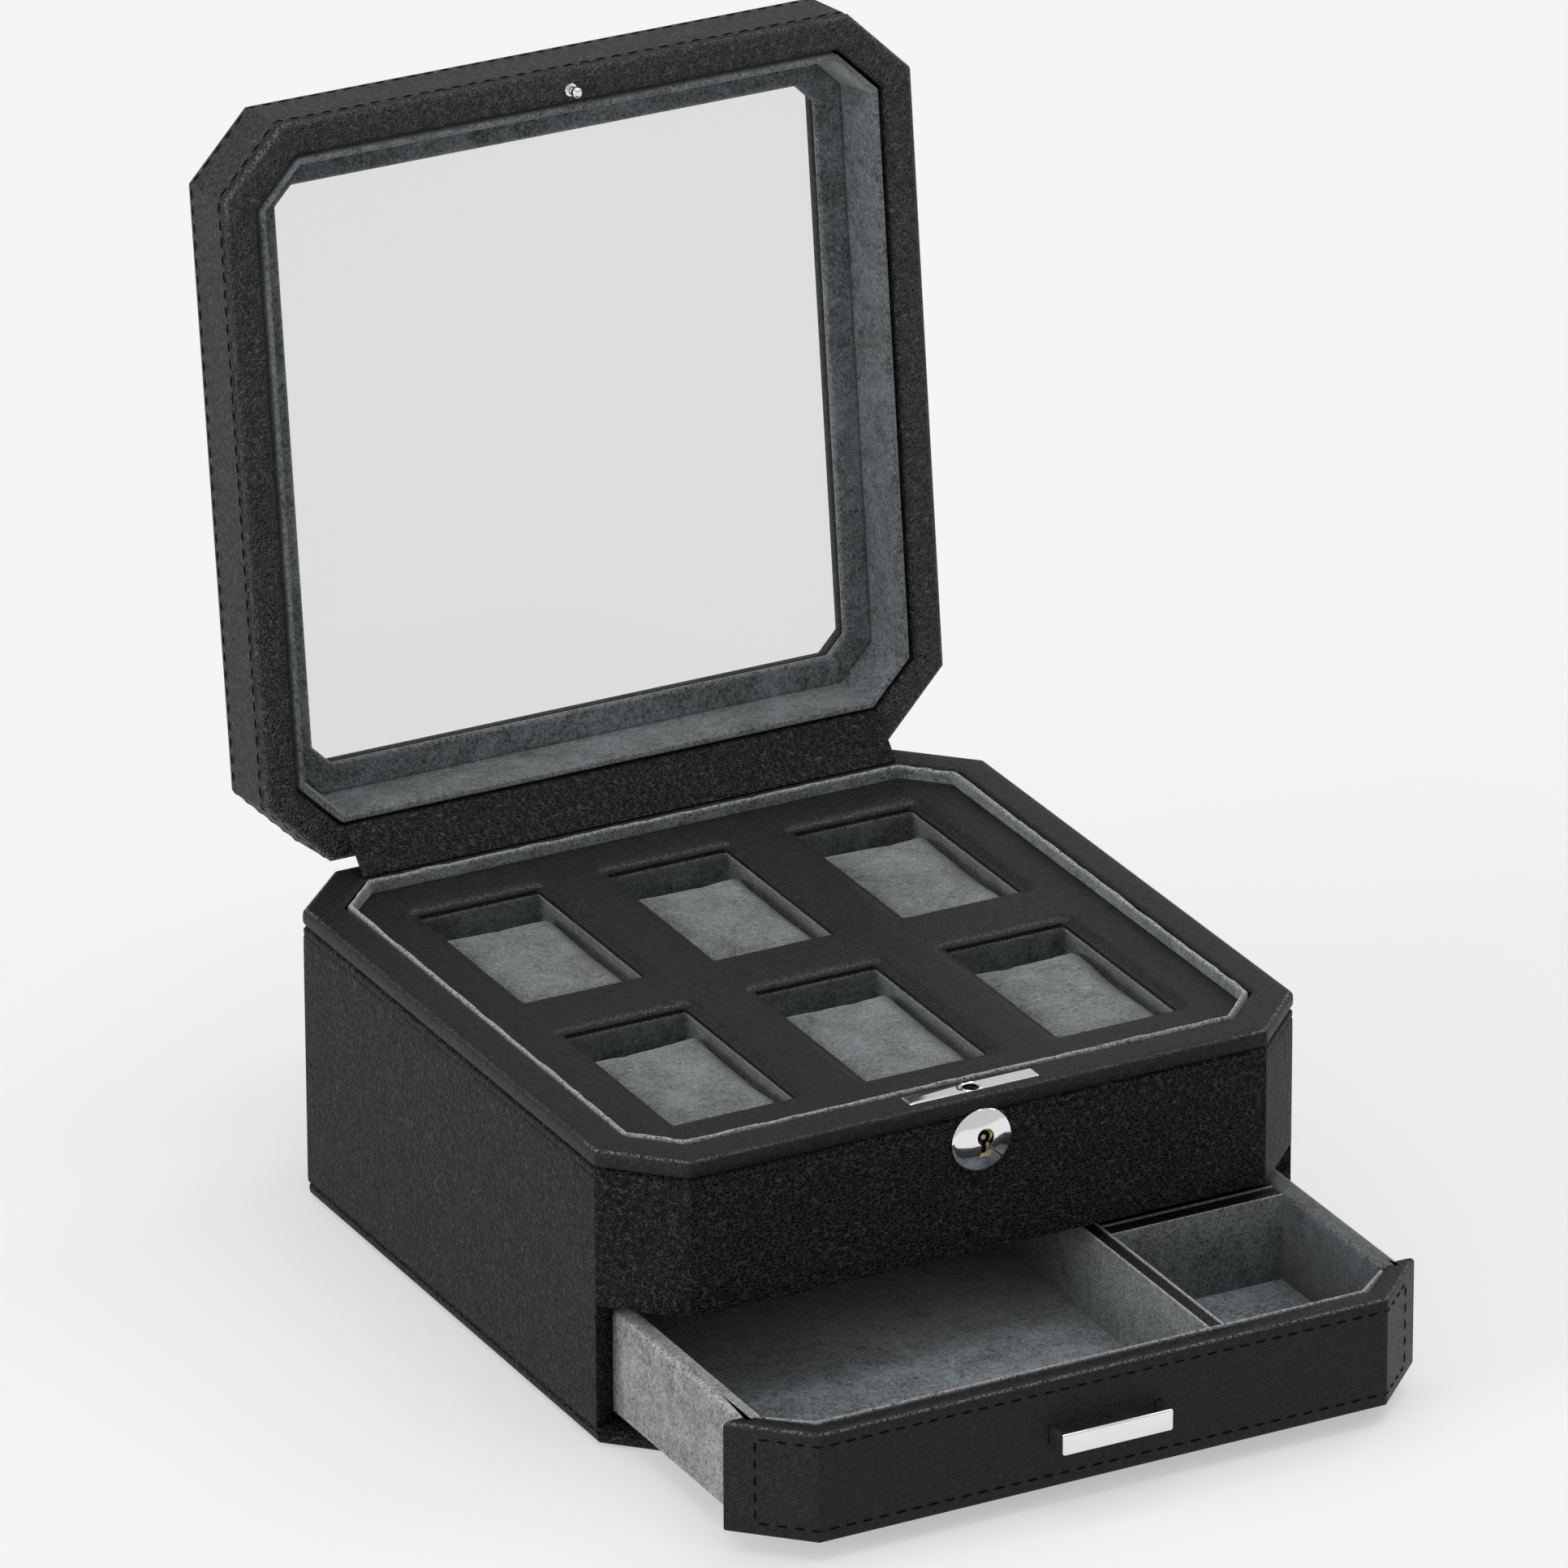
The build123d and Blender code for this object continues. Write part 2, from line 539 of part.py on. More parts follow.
def make_drawer():
    drawer = {}
    outer = front_plan(0)
    inner = front_plan(DRAWER_FRONT_THICK)
    front = prism(outer + inner[::-1], DRAWER_FRONT_BOTTOM, DRAWER_TOP)

    face = -HALF_Y
    pull_front = face - PULL[1]
    pull = block(spread(0, PULL[0]), (pull_front, face), spread(PULL_Z, PULL[2]))
    pull = fillet(pull.edges().filter_by(Axis.Z).group_by(Axis.Y)[0], PULL_CORNER)
    gap_half = PULL[0] / 2 - PULL_LEG
    pull -= block((-gap_half, gap_half), (pull_front + PULL_BAR, face + 1), (0, 60))

    screws = []
    leg_x = (PULL[0] - PULL_LEG) / 2
    for x in (-leg_x, leg_x):
        inside = face + DRAWER_FRONT_THICK
        shank = rod_y(1.1, face - 4.5, inside - 1.2, x, PULL_Z)
        head = rod_y(2.6, inside - 1.4, inside, x, PULL_Z)
        screws.append(shank + head)
    for screw in screws:
        front -= screw
        pull -= screw
    drawer["drawer_front"] = front
    drawer["drawer_pull"] = pull
    drawer["pull_screws"] = joined(screws)

    back_face = DRAWER_REAR - DRAWER_BACK_THICK
    walls = (DRAWER_BOTTOM, DRAWER_TOP)
    inside_half = DRAWER_HALF - DRAWER_WALL
    y_side = inner_floor(0, back_face)[1][1]
    y_wing = DRAWER_FRONT_BACK + JOINT_GAP
    x_wing = inside_half + y_wing - y_side
    for side, sign in (("left", -1), ("right", 1)):
        wall = [
            (sign * DRAWER_HALF, y_wing), (sign * x_wing, y_wing), (sign * inside_half, y_side),
            (sign * inside_half, back_face), (sign * DRAWER_HALF, back_face),
        ]
        drawer[f"drawer_side_{side}"] = prism(wall, *walls)
    drawer["drawer_back"] = block((-DRAWER_HALF, DRAWER_HALF), (back_face, DRAWER_REAR), walls)

    floor_top = DRAWER_BOTTOM + DRAWER_FLOOR
    lining_top = floor_top + DRAWER_LINING
    drawer["drawer_floor"] = prism(inner_floor(0, back_face), DRAWER_BOTTOM, floor_top)
    drawer["drawer_lining"] = prism(inner_floor(0, back_face), floor_top, lining_top)

    strip = inner_floor(0, back_face)[1:5]
    strip_inner = front_plan(DRAWER_FRONT_THICK + DRAWER_LINING)[1:3]
    y_end = strip_inner[0][1] + inside_half - strip_inner[1][0]
    back_line = [(inside_half, y_end), strip_inner[1], strip_inner[0], (-inside_half, y_end)]
    drawer["drawer_front_lining"] = prism(strip + back_line, lining_top, DRAWER_TOP - 0.3)

    divider_z = (lining_top, DIVIDER_TOP)
    y_strip = strip_inner[0][1]
    drawer["long_divider"] = block(LONG_DIVIDER, (y_strip, back_face), divider_z)
    drawer["cross_divider"] = block((LONG_DIVIDER[1], inside_half), CROSS_DIVIDER, divider_z)

    for name, shape in drawer.items():
        parts[name] = Pos(0, -DRAWER_OUT, 0) * shape


make_case()
make_wells()
make_lock()
make_hinges()
make_lid()
make_drawer()

os.makedirs("parts", exist_ok=True)
for name, shape in parts.items():
    export_step(shape, f"parts/{name}.step")
print(len(parts), "parts")
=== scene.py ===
import bmesh
import bpy
import json
from math import ceil, cos, exp, hypot, pi, radians, sin, sqrt, tan
from mathutils import Matrix, Vector, noise
from mathutils.geometry import delaunay_2d_cdt


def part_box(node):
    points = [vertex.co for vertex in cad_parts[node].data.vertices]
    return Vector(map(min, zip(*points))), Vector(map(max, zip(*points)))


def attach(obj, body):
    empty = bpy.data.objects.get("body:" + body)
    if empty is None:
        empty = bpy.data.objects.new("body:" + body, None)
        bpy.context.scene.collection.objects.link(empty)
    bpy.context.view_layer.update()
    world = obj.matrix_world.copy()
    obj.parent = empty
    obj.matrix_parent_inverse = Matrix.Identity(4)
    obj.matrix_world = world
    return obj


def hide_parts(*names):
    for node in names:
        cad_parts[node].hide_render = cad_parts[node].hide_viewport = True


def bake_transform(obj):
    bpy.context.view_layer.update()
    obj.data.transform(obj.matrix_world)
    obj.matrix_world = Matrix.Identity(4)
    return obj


# A leather-covered watch box with a glazed lid, a lock, six wells and a drawer.
# Shapes are worked out in millimetres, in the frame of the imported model, and made in metres.
# The lid is shaped closed and then turned open about its hinge. The drawer is shaped where it
# stands in the frame, partly out.

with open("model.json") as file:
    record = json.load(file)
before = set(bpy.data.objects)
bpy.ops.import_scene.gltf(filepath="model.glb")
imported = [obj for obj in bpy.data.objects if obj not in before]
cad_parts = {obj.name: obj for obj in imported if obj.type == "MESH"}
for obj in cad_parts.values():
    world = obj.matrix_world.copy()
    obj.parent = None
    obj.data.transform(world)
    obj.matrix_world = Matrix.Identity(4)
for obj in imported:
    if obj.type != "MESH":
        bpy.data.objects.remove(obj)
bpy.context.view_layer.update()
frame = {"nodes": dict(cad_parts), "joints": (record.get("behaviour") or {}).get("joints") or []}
noise.seed_set(7)                          # without a seed the noise starts from the clock


def span(node):
    """Lowest and highest corner of a CAD node, in millimetres."""
    low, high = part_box(node)
    return low * 1000, high * 1000


# ---- sizes, read from the frame where it has them ----

HALF = span("base_board")[1].x             # half the case's width and depth
BASE_BOTTOM, BASE_TOP = (corner.z for corner in span("base_board"))
CAP_BOTTOM, RIM = (corner.z for corner in span("rim_cap"))
FASCIA_BOTTOM = span("front_fascia")[0].z
TRAY_TOP = span("tray_frame")[1].z
CHAMFER = 21.0                             # leg of the 45 degree corners
LEG_RATE = 2 - sqrt(2)                     # how fast that leg shrinks as an outline moves in
WALL = 7.0
RIM_WIDTH = 11.7
LINING = 1.5
TRAY_INSET = RIM_WIDTH + LINING + 0.3
WINDOW = (45.0, 75.0)
WELL = (49.0, 79.0)

HINGE = next(joint for joint in frame["joints"] if joint["name"] == "lid_hinge")
HINGE_Y, HINGE_Z = (1000 * value for value in HINGE["pos_m"][1:])
HINGE_LEAF = 1.0
HINGE_SPAN = (44.8, 75.2)                  # where the rims make room for a hinge
HINGE_CLEAR = 2.5
LEAF_FRONT = 107.5
LOCK_ROOM = 12.5                           # half of the width that the rim leaves to the lock
LOCK_ROOM_INSET = (5.0, 9.6)               # from front to back, as insets from the case's outline

LID_INSET = 0.7
LID_FACE = HINGE_Z + 0.25                  # rim face of the closed lid
LID_RIM_WIDTH = 10.3
LID_SEAM = 3.0                             # between the padded rim and the side band
LID_LEDGE = (18.3, 20.3)
LID_TOP = (22.5, 26.5)
LID_OPENING = 92.5
LID_OPENING_LEG = 6.5

STITCH = 4.2
STITCH_GAP = 1.2
STITCH_RADIUS = 0.42
STITCH_INSET = -0.02                       # stitches lie just proud of the leather
LID_STITCHES = (4.7, 23.6)                 # heights of the two rows, from the lid's rim face

OPENED = (
    Matrix.Translation((0, HINGE_Y, HINGE_Z))
    @ Matrix.Rotation(radians(HINGE["range_deg"][0]), 4, "X")
    @ Matrix.Translation((0, -HINGE_Y, -HINGE_Z))
)


# ---- meshes ----

def make(name, verts, faces, material, wear_and_sheen=None, place=None, smooth=radians(40)):
    """A mesh object from points in millimetres. wear_and_sheen is one number per point, from 0 to 1: how
    much paler the surface is drawn there, partly for wear and fuzz at edges and partly as a painted
    highlight.
    """
    mesh = bpy.data.meshes.new(name)
    mesh.from_pydata([tuple(v) for v in verts], [], faces)
    if wear_and_sheen:
        layer = mesh.attributes.new("wear_and_sheen", "FLOAT", "POINT")
        layer.data.foreach_set("value", wear_and_sheen)
    mesh.transform(Matrix.Scale(0.001, 4) @ (place or Matrix.Identity(4)))
    bm = bmesh.new()
    bm.from_mesh(mesh)
    bmesh.ops.remove_doubles(bm, verts=bm.verts, dist=1e-6)
    bmesh.ops.recalc_face_normals(bm, faces=bm.faces)
    bm.to_mesh(mesh)
    bm.free()
    mesh.shade_smooth()
    mesh.set_sharp_from_angle(angle=smooth)
    mesh.materials.append(material)
    piece = bpy.data.objects.new(name, mesh)
    bpy.context.scene.collection.objects.link(piece)
    return piece


def bevel(piece, width):
    """Rounds the sharp edges of a piece. Width in millimetres."""
    bm = bmesh.new()
    bm.from_mesh(piece.data)
    sharp = [e for e in bm.edges if len(e.link_faces) == 2 and e.calc_face_angle() > radians(50)]
    bmesh.ops.bevel(
        bm, geom=sharp, offset=width / 1000, segments=2, profile=0.5,
        affect="EDGES", clamp_overlap=True,
    )
    bm.to_mesh(piece.data)
    bm.free()
    piece.data.shade_smooth()
    piece.data.set_sharp_from_angle(angle=radians(40))
    return piece


def alter(piece, kind, **settings):
    """Adds a modifier with these settings and applies it."""
    modifier = piece.modifiers.new(kind, kind)
    for key, value in settings.items():
        setattr(modifier, key, value)
    with bpy.context.temp_override(object=piece, active_object=piece, selected_objects=[piece]):
        bpy.ops.object.modifier_apply(modifier=modifier.name)


def settle(piece, body, slot, *nodes):
    """Puts a piece on the body it rides on and hides the nodes it stands for. slot is not used."""
    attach(piece, body)
    if nodes:
        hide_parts(*nodes)
    return piece


def round_corner(before, corner, after, radius, steps):
    """Points that round one corner of an outline."""
    to_before = (before - corner).normalized()
    to_after = (after - corner).normalized()
    half = to_before.angle(to_after) / 2
    centre = corner + (to_before + to_after).normalized() * radius / sin(half)
    start = corner + to_before * radius / tan(half) - centre
    end = corner + to_after * radius / tan(half) - centre
    return [centre + start.slerp(end, step / steps) for step in range(steps + 1)]


def rounded(corners, radius, steps=4, closed=True):
    """An outline with its corners rounded, as 2-D points. An open one keeps its two ends."""
    corners = [Vector(corner) for corner in corners]
    points = []
    for index, corner in enumerate(corners):
        at_end = index in (0, len(corners) - 1)
        if at_end and not closed:
            points.append(corner)
        else:
            after = corners[(index + 1) % len(corners)]
            points += round_corner(corners[index - 1], corner, after, radius, steps)
    return points


SIDE_STOPS = sorted(
    [4.0 * step for step in range(-21, 22)]
    + [sign * (edge + shift) for sign in (-1, 1) for edge in HINGE_SPAN for shift in (-0.05, 0.15)]
)
DIAGONAL_STEPS = 6


def octagon(half, leg, radius):
    """A square outline with rounded 45 degree corners, and the same number of points at any size."""
    inner = half - leg
    corners = [
        (half, -inner), (half, inner), (inner, half), (-inner, half),
        (-half, inner), (-half, -inner), (-inner, -half), (inner, -half),
    ]
    arcs = rounded(corners, radius)
    count = len(arcs) // 8
    points = []
    for side in range(8):
        arc = arcs[side * count:(side + 1) * count]
        following = arcs[(side + 1) * count % len(arcs)]
        points += arc
        if side % 2:
            points += [arc[-1].lerp(following, k / DIAGONAL_STEPS) for k in range(1, DIAGONAL_STEPS)]
        else:
            along = 1 - side // 2 % 2
            stops = SIDE_STOPS if side in (0, 6) else SIDE_STOPS[::-1]
            for stop in stops:
                point = [arc[-1].x, arc[-1].y]
                point[along] = stop
                points.append(Vector(point))
    return points


def case_outline(inset, radius=1.4):
    return octagon(HALF - inset, CHAMFER - LEG_RATE * inset, radius)


def lid_outline(inset, radius=1.4):
    return case_outline(LID_INSET + inset, radius)


def level(points, z):
    return [Vector((p.x, p.y, z)) for p in points]


def lay(profile, outline, base=0.0):
    """Rows of points from a profile, and the wear_and_sheen of each row. An entry of the profile is an
    inset, a height above the base and, where the edge is drawn paler for wear and as a painted highlight,
    how much."""
    rows = [level(outline(entry[0]), base + entry[1]) for entry in profile]
    return rows, [entry[2] if len(entry) > 2 else 0 for entry in profile]


def frayed(points, amount):
    """Makes a row of points uneven, as a cut edge of suede is."""
    moved = []
    for p in points:
        wander = noise.noise_vector(p / 3.0) * 0.35 + noise.noise_vector(p / 9.0) * 0.2
        moved.append(p + wander * amount)
    return moved


def chafe_and_glint(point):
    """How much of the paler edge a point gets, partly wear and partly a painted glint: the 45 degree
    corners get the most.
    """
    return 1.0 if min(abs(point.x), abs(point.y)) > HALF - CHAMFER - 1.5 else 0.3


def sweep(name, rows, material, wear_and_sheen=None, ring=True, loop=True, caps=False, rub_and_glint=None, **options):
    """Joins rows of points into a skin. ring: the last row meets the first. loop: each row is closed.
    caps: the ends are closed, of the rows where they aren't a ring, or of the profile otherwise.
    wear_and_sheen: how much paler each row is drawn, for wear and as a painted highlight, which
    rub_and_glint, if given, scales point by point."""
    count = len(rows[0])
    verts = [point for row in rows for point in row]
    faces = []
    for r in range(len(rows) if ring else len(rows) - 1):
        for c in range(count if loop else count - 1):
            a = r * count
            b = (r + 1) % len(rows) * count
            d = (c + 1) % count
            faces.append((a + c, a + d, b + d, b + c))
    if caps and ring:
        faces.append([r * count for r in range(len(rows))])
        faces.append([r * count + count - 1 for r in range(len(rows))])
    elif caps:
        faces.append(list(range(count)))
        faces.append([(len(rows) - 1) * count + c for c in range(count)])
    if wear_and_sheen:
        wear_and_sheen = [value * (rub_and_glint(point) if rub_and_glint else 1) for value, row in zip(wear_and_sheen, rows) for point in row]
    return make(name, verts, faces, material, wear_and_sheen, **options)


def shell(name, outer, inner, present, material):
    """Two closed skins of rows of points, joined at every edge of the cells that are present."""
    rows = len(outer)
    count = len(outer[0])
    verts = [p for skin in (outer, inner) for row in skin for p in row]
    second = rows * count
    there = [[present(r, c) for c in range(count)] for r in range(rows - 1)]
    faces = []
    for r in range(rows - 1):
        for c in range(count):
            if not there[r][c]:
                continue
            d = (c + 1) % count
            corners = [r * count + c, r * count + d, (r + 1) * count + d, (r + 1) * count + c]
            faces.append(corners)
            faces.append([second + corner for corner in reversed(corners)])
            beside = [
                r > 0 and there[r - 1][c], there[r][d],
                r < rows - 2 and there[r + 1][c], there[r][c - 1],
            ]
            for k in range(4):
                if not beside[k]:
                    a, b = corners[k], corners[(k + 1) % 4]
                    faces.append((b, a, second + a, second + b))
    used = sorted({corner for face in faces for corner in face})
    new = {old: index for index, old in enumerate(used)}
    return make(
        name, [verts[old] for old in used], [[new[v] for v in face] for face in faces], material
    )


def prism(name, points, low, high, material, width):
    """A plan outline pulled up from one height to another, with rounded edges."""
    rows = [level(points, low), level(points, high)]
    return bevel(sweep(name, rows, material, ring=False, caps=True), width)


def offset(loop, distance):
    """Moves a closed outline along its own normals. Outwards if it runs anticlockwise."""
    moved = []
    for index, point in enumerate(loop):
        along = (loop[(index + 1) % len(loop)] - loop[index - 1]).normalized()
        moved.append(point + Vector((along.y, -along.x)) * distance)
    return moved


def inside(point, loop):
    """Whether a point is inside a closed outline."""
    hit = False
    for index, a in enumerate(loop):
        b = loop[index - 1]
        if (a.y > point.y) != (b.y > point.y):
            if point.x < (b.x - a.x) * (point.y - a.y) / (b.y - a.y) + a.x:
                hit = not hit
    return hit


def plate(name, outline, holes, rings, grid, height, bottom, material, wear_and_sheen=None, place=None):
    """A plate with holes and a shaped top: height(x, y) gives the top and bottom where its walls end.
    rings are the distances from each edge that get a row of points of their own."""
    points = []
    edges = []
    bounds = [outline] + holes
    for loop in bounds:
        first = len(points)
        points += loop
        edges += [(first + k, first + (k + 1) % len(loop)) for k in range(len(loop))]
    walls = len(points)
    guard = []
    for index, loop in enumerate(bounds):
        for distance in rings:
            points += offset(loop, -distance if index == 0 else distance)
        guard.append(offset(loop, -rings[-1] - grid / 2 if index == 0 else rings[-1] + grid / 2))
    xs = [p.x for p in outline]
    ys = [p.y for p in outline]
    for row in range(int((max(ys) - min(ys)) / grid)):
        for column in range(int((max(xs) - min(xs)) / grid)):
            shift = 0.25 + 0.5 * (row % 2)
            point = Vector((min(xs) + (column + shift) * grid, min(ys) + (row + 0.5) * grid))
            if inside(point, guard[0]) and not any(inside(point, loop) for loop in guard[1:]):
                points.append(point)
    flat, _, triangles, origin, _, _ = delaunay_2d_cdt(points, edges, [], 0, 1e-5)
    faces = []
    for triangle in triangles:
        middle = sum((flat[v] for v in triangle), Vector((0, 0))) / 3
        if inside(middle, outline) and not any(inside(middle, hole) for hole in holes):
            faces.append(list(triangle))
    verts = [Vector((p.x, p.y, height(p.x, p.y))) for p in flat]
    number = {source: index for index, sources in enumerate(origin) for source in sources}
    for a, b in edges:
        if a < walls and b < walls:
            a, b = number[a], number[b]
            low = len(verts)
            verts += [Vector((flat[v].x, flat[v].y, bottom)) for v in (a, b)]
            faces.append([a, b, low + 1, low])
    values = [wear_and_sheen(v.x, v.y) for v in verts] if wear_and_sheen else None
    return make(name, verts, faces, material, values, place)


def stitches(name, paths, thread, place=None):
    """Raised stitches along paths. A path is a list of points, each with its outward direction."""
    verts = []
    faces = []
    for path in paths:
        lengths = [0.0]
        for (a, _), (b, _) in zip(path, path[1:]):
            lengths.append(lengths[-1] + (b - a).length)
        total = lengths[-1]
        count = int(total / (STITCH + STITCH_GAP))

        def spot(distance):
            index = max(k for k, length in enumerate(lengths[:-1]) if length <= distance + 1e-9)
            share = (distance - lengths[index]) / (lengths[index + 1] - lengths[index])
            return path[index][0].lerp(path[index + 1][0], share), path[index][1]

        for number in range(count):
            middle = (number + 0.5) * total / count
            rings = []
            for share, size in ((-1, 0.35), (-0.72, 0.9), (0, 1.0), (0.72, 0.9), (1, 0.35)):
                point, out = spot(middle + share * STITCH / 2)
                ahead = (spot(middle + 0.2)[0] - spot(middle - 0.2)[0]).normalized()
                side = ahead.cross(out).normalized()
                sink = -0.1 - 0.3 * share * share
                ring = []
                for k in range(6):
                    angle = 2 * pi * k / 6
                    spoke = side * cos(angle) + out * sin(angle)
                    ring.append(point + out * sink + spoke * STITCH_RADIUS * size)
                rings.append(ring)
            first = len(verts)
            verts += [point for ring in rings for point in ring]
            for r in range(4):
                for k in range(6):
                    a = first + r * 6 + k
                    b = first + r * 6 + (k + 1) % 6
                    faces.append((a, b, b + 6, a + 6))
            faces.append([first + k for k in range(6)])
            faces.append([first + 24 + k for k in range(6)])
    return make(name, verts, faces, thread, place=place)


# ---- materials ----

def material(name):
    """A new material with its tree, its shader and its object coordinates."""
    item = bpy.data.materials.new(name)
    item.use_nodes = True
    tree = item.node_tree
    tree.nodes.clear()
    shader = tree.nodes.new("ShaderNodeBsdfPrincipled")
    out = tree.nodes.new("ShaderNodeOutputMaterial")
    tree.links.new(shader.outputs["BSDF"], out.inputs["Surface"])
    where = tree.nodes.new("ShaderNodeTexCoord").outputs["Object"]
    return item, tree, shader, where


def feed(tree, item, inputs):
    """Fills a node's inputs. Each is a number, a colour, or another node's output."""
    for key, value in inputs.items():
        if isinstance(value, bpy.types.NodeSocket):
            tree.links.new(value, item.inputs[key])
        else:
            item.inputs[key].default_value = value


def node(tree, kind, inputs, **settings):
    item = tree.nodes.new(kind)
    for key, value in settings.items():
        setattr(item, key, value)
    feed(tree, item, inputs)
    return item


def calc(tree, operation, *values, clamp=False):
    inputs = dict(enumerate(values))
    return node(tree, "ShaderNodeMath", inputs, operation=operation, use_clamp=clamp).outputs[0]


def blend_colors(tree, share, first, second):
    return node(tree, "ShaderNodeMix", {0: share, 6: first, 7: second}, data_type="RGBA").outputs[2]


def vector_calc(tree, operation, inputs):
    return node(tree, "ShaderNodeVectorMath", inputs, operation=operation).outputs[0]


def bump(tree, height, depth):
    """Relief of this depth in millimetres."""
    return node(tree, "ShaderNodeBump", {"Height": height, "Distance": depth / 1000}).outputs[0]


def attribute(tree, name):
    return node(tree, "ShaderNodeAttribute", {}, attribute_name=name).outputs["Fac"]


def remap(tree, value, low, high):
    """Stretches a value so that low becomes 0 and high becomes 1, and goes no further."""
    inputs = {"Value": value, "From Min": low, "From Max": high}
    return node(tree, "ShaderNodeMapRange", inputs).outputs[0]


def noise_at(tree, where, size, detail, roughness=0.5, distortion=0.0):
    """Noise with features of about this size, in millimetres."""
    inputs = {
        "Vector": where, "Scale": 1000 / size, "Detail": detail,
        "Roughness": roughness, "Distortion": distortion,
    }
    return node(tree, "ShaderNodeTexNoise", inputs).outputs["Fac"]


def grey(value, tint=(1.0, 1.0, 1.0)):
    return (value * tint[0], value * tint[1], value * tint[2], 1.0)


def laid_along(tree, where, long, turn, axis):
    """Coordinates in which the grain runs long along an axis, turned by an angle about the other."""
    scale = (long, 1, 1) if axis == "X" else (1, long, 1)
    rotation = (0, turn, 0) if axis == "X" else (turn, 0, 0)
    inputs = {"Vector": where, "Rotation": rotation, "Scale": scale}
    return node(tree, "ShaderNodeMapping", inputs, vector_type="TEXTURE").outputs[0]


def leather(
    name, dark, light, cell, depth, rough, shine, crinkle_glint, long=1.0, turns=(0.0, 0.0), tint=(1, 1, 1)
):
    """Leather with a grain of cells of this size, long and turned by an angle on the faces to the
    front and another on the sides, with fine pale lines along its crinkles that are a painted highlight,
    colour that follows the grain's relief as painted shade, and paler edges that are partly worn and
    partly a painted glint."""
    item, tree, shader, where = material(name)
    laid = laid_along(tree, where, long, turns[0], "X")
    if long > 1:
        facing = node(tree, "ShaderNodeSeparateXYZ", {0: where.node.outputs["Normal"]}).outputs["X"]
        sideways = calc(tree, "GREATER_THAN", calc(tree, "ABSOLUTE", facing), 0.8)
        other = laid_along(tree, where, long, turns[1], "Y")
        mixed = node(tree, "ShaderNodeMix", {0: sideways, 4: laid, 5: other}, data_type="VECTOR")
        laid = mixed.outputs[1]
    drift = node(tree, "ShaderNodeTexNoise", {"Vector": laid, "Scale": 500 / cell, "Detail": 2.0})
    moved = vector_calc(tree, "SUBTRACT", {0: drift.outputs["Color"], 1: (0.5, 0.5, 0.5)})
    moved = vector_calc(tree, "SCALE", {0: moved, "Scale": 0.0011 * cell})
    bent = vector_calc(tree, "ADD", {0: laid, 1: moved})
    cells = node(
        tree, "ShaderNodeTexVoronoi", {"Vector": bent, "Scale": 1000 / cell}, feature="DISTANCE_TO_EDGE"
    ).outputs["Distance"]
    plump = remap(tree, cells, 0.0, 0.3)
    folds = noise_at(tree, bent, cell * 2.0, 3.0)
    broad = noise_at(tree, where, 9.0, 3.0)
    relief = calc(tree, "MULTIPLY_ADD", plump, 0.6, folds)
    relief = calc(tree, "MULTIPLY_ADD", broad, 1.5, relief)
    # Painted shade: the colour darkens into the grain's crevices, where the relief is low, and varies at
    # random over the cells.
    shade = calc(tree, "MULTIPLY", plump, remap(tree, folds, 0.35, 0.65), clamp=True)
    color = blend_colors(tree, shade, grey(dark, tint), grey(light, tint))
    # Painted highlight: pale lines along the crinkles stand for light caught by their raised facets.
    crinkle_glint_lines = remap(tree, cells, 0.16, 0.04)
    crinkle_glint_lines = calc(tree, "MULTIPLY", crinkle_glint_lines, remap(tree, noise_at(tree, where, 1.6, 3.0), 0.3, 0.65))
    color = blend_colors(tree, crinkle_glint_lines, color, grey(crinkle_glint, tint))
    # Paler, glossier edges where wear_and_sheen is set: partly wear, partly a painted glint.
    rub_and_glint = remap(tree, noise_at(tree, where, 0.7, 2.0, 0.6), 0.45, 0.6)
    rub_and_glint = calc(tree, "MULTIPLY", attribute(tree, "wear_and_sheen"), rub_and_glint, clamp=True)
    gloss = calc(tree, "MULTIPLY_ADD", plump, -0.18, rough + 0.14)
    feed(tree, shader, {
        "Base Color": blend_colors(tree, rub_and_glint, color, grey(WORN_AND_GLINT, tint)),
        "Roughness": calc(tree, "MULTIPLY_ADD", rub_and_glint, -0.1, gloss),
        "Specular IOR Level": shine,
        "Normal": bump(tree, relief, depth),
    })
    return item


def suede(name, dark, light, nap, tint, depth=0.2, swirl=1.2):
    """Suede: brushed patches, swirls of nap, fine hairs, and cut edges drawn paler, partly their fuzz and
    partly a painted sheen.
    """
    item, tree, shader, where = material(name)
    brushed = noise_at(tree, where, 14.0, 4.0, 0.6, 0.6)
    strokes = noise_at(tree, where, nap * 3.0, 4.0, 0.65, swirl)
    hairs = noise_at(tree, where, nap, 2.0, 0.7, swirl / 2)
    shade = calc(tree, "MULTIPLY_ADD", brushed, 0.6, calc(tree, "MULTIPLY", strokes, 0.8))
    shade = calc(tree, "MULTIPLY_ADD", hairs, 1.0, shade)
    shade = remap(tree, shade, 0.95, 1.45)
    color = blend_colors(tree, shade, grey(dark, tint), grey(light, tint))
    # Painted sheen: the cut edges are drawn paler, partly their fuzz and partly a painted sheen.
    fuzz_and_sheen = calc(tree, "MULTIPLY", attribute(tree, "wear_and_sheen"), remap(tree, hairs, 0.35, 0.6), clamp=True)
    relief = calc(tree, "MULTIPLY_ADD", strokes, 1.5, hairs)
    feed(tree, shader, {
        "Base Color": blend_colors(tree, fuzz_and_sheen, color, grey(light * 2.0)),
        "Roughness": 0.95,
        "Specular IOR Level": 0.2,
        "Sheen Weight": 0.4,
        "Sheen Roughness": 0.45,
        "Normal": bump(tree, relief, depth),
    })
    return item


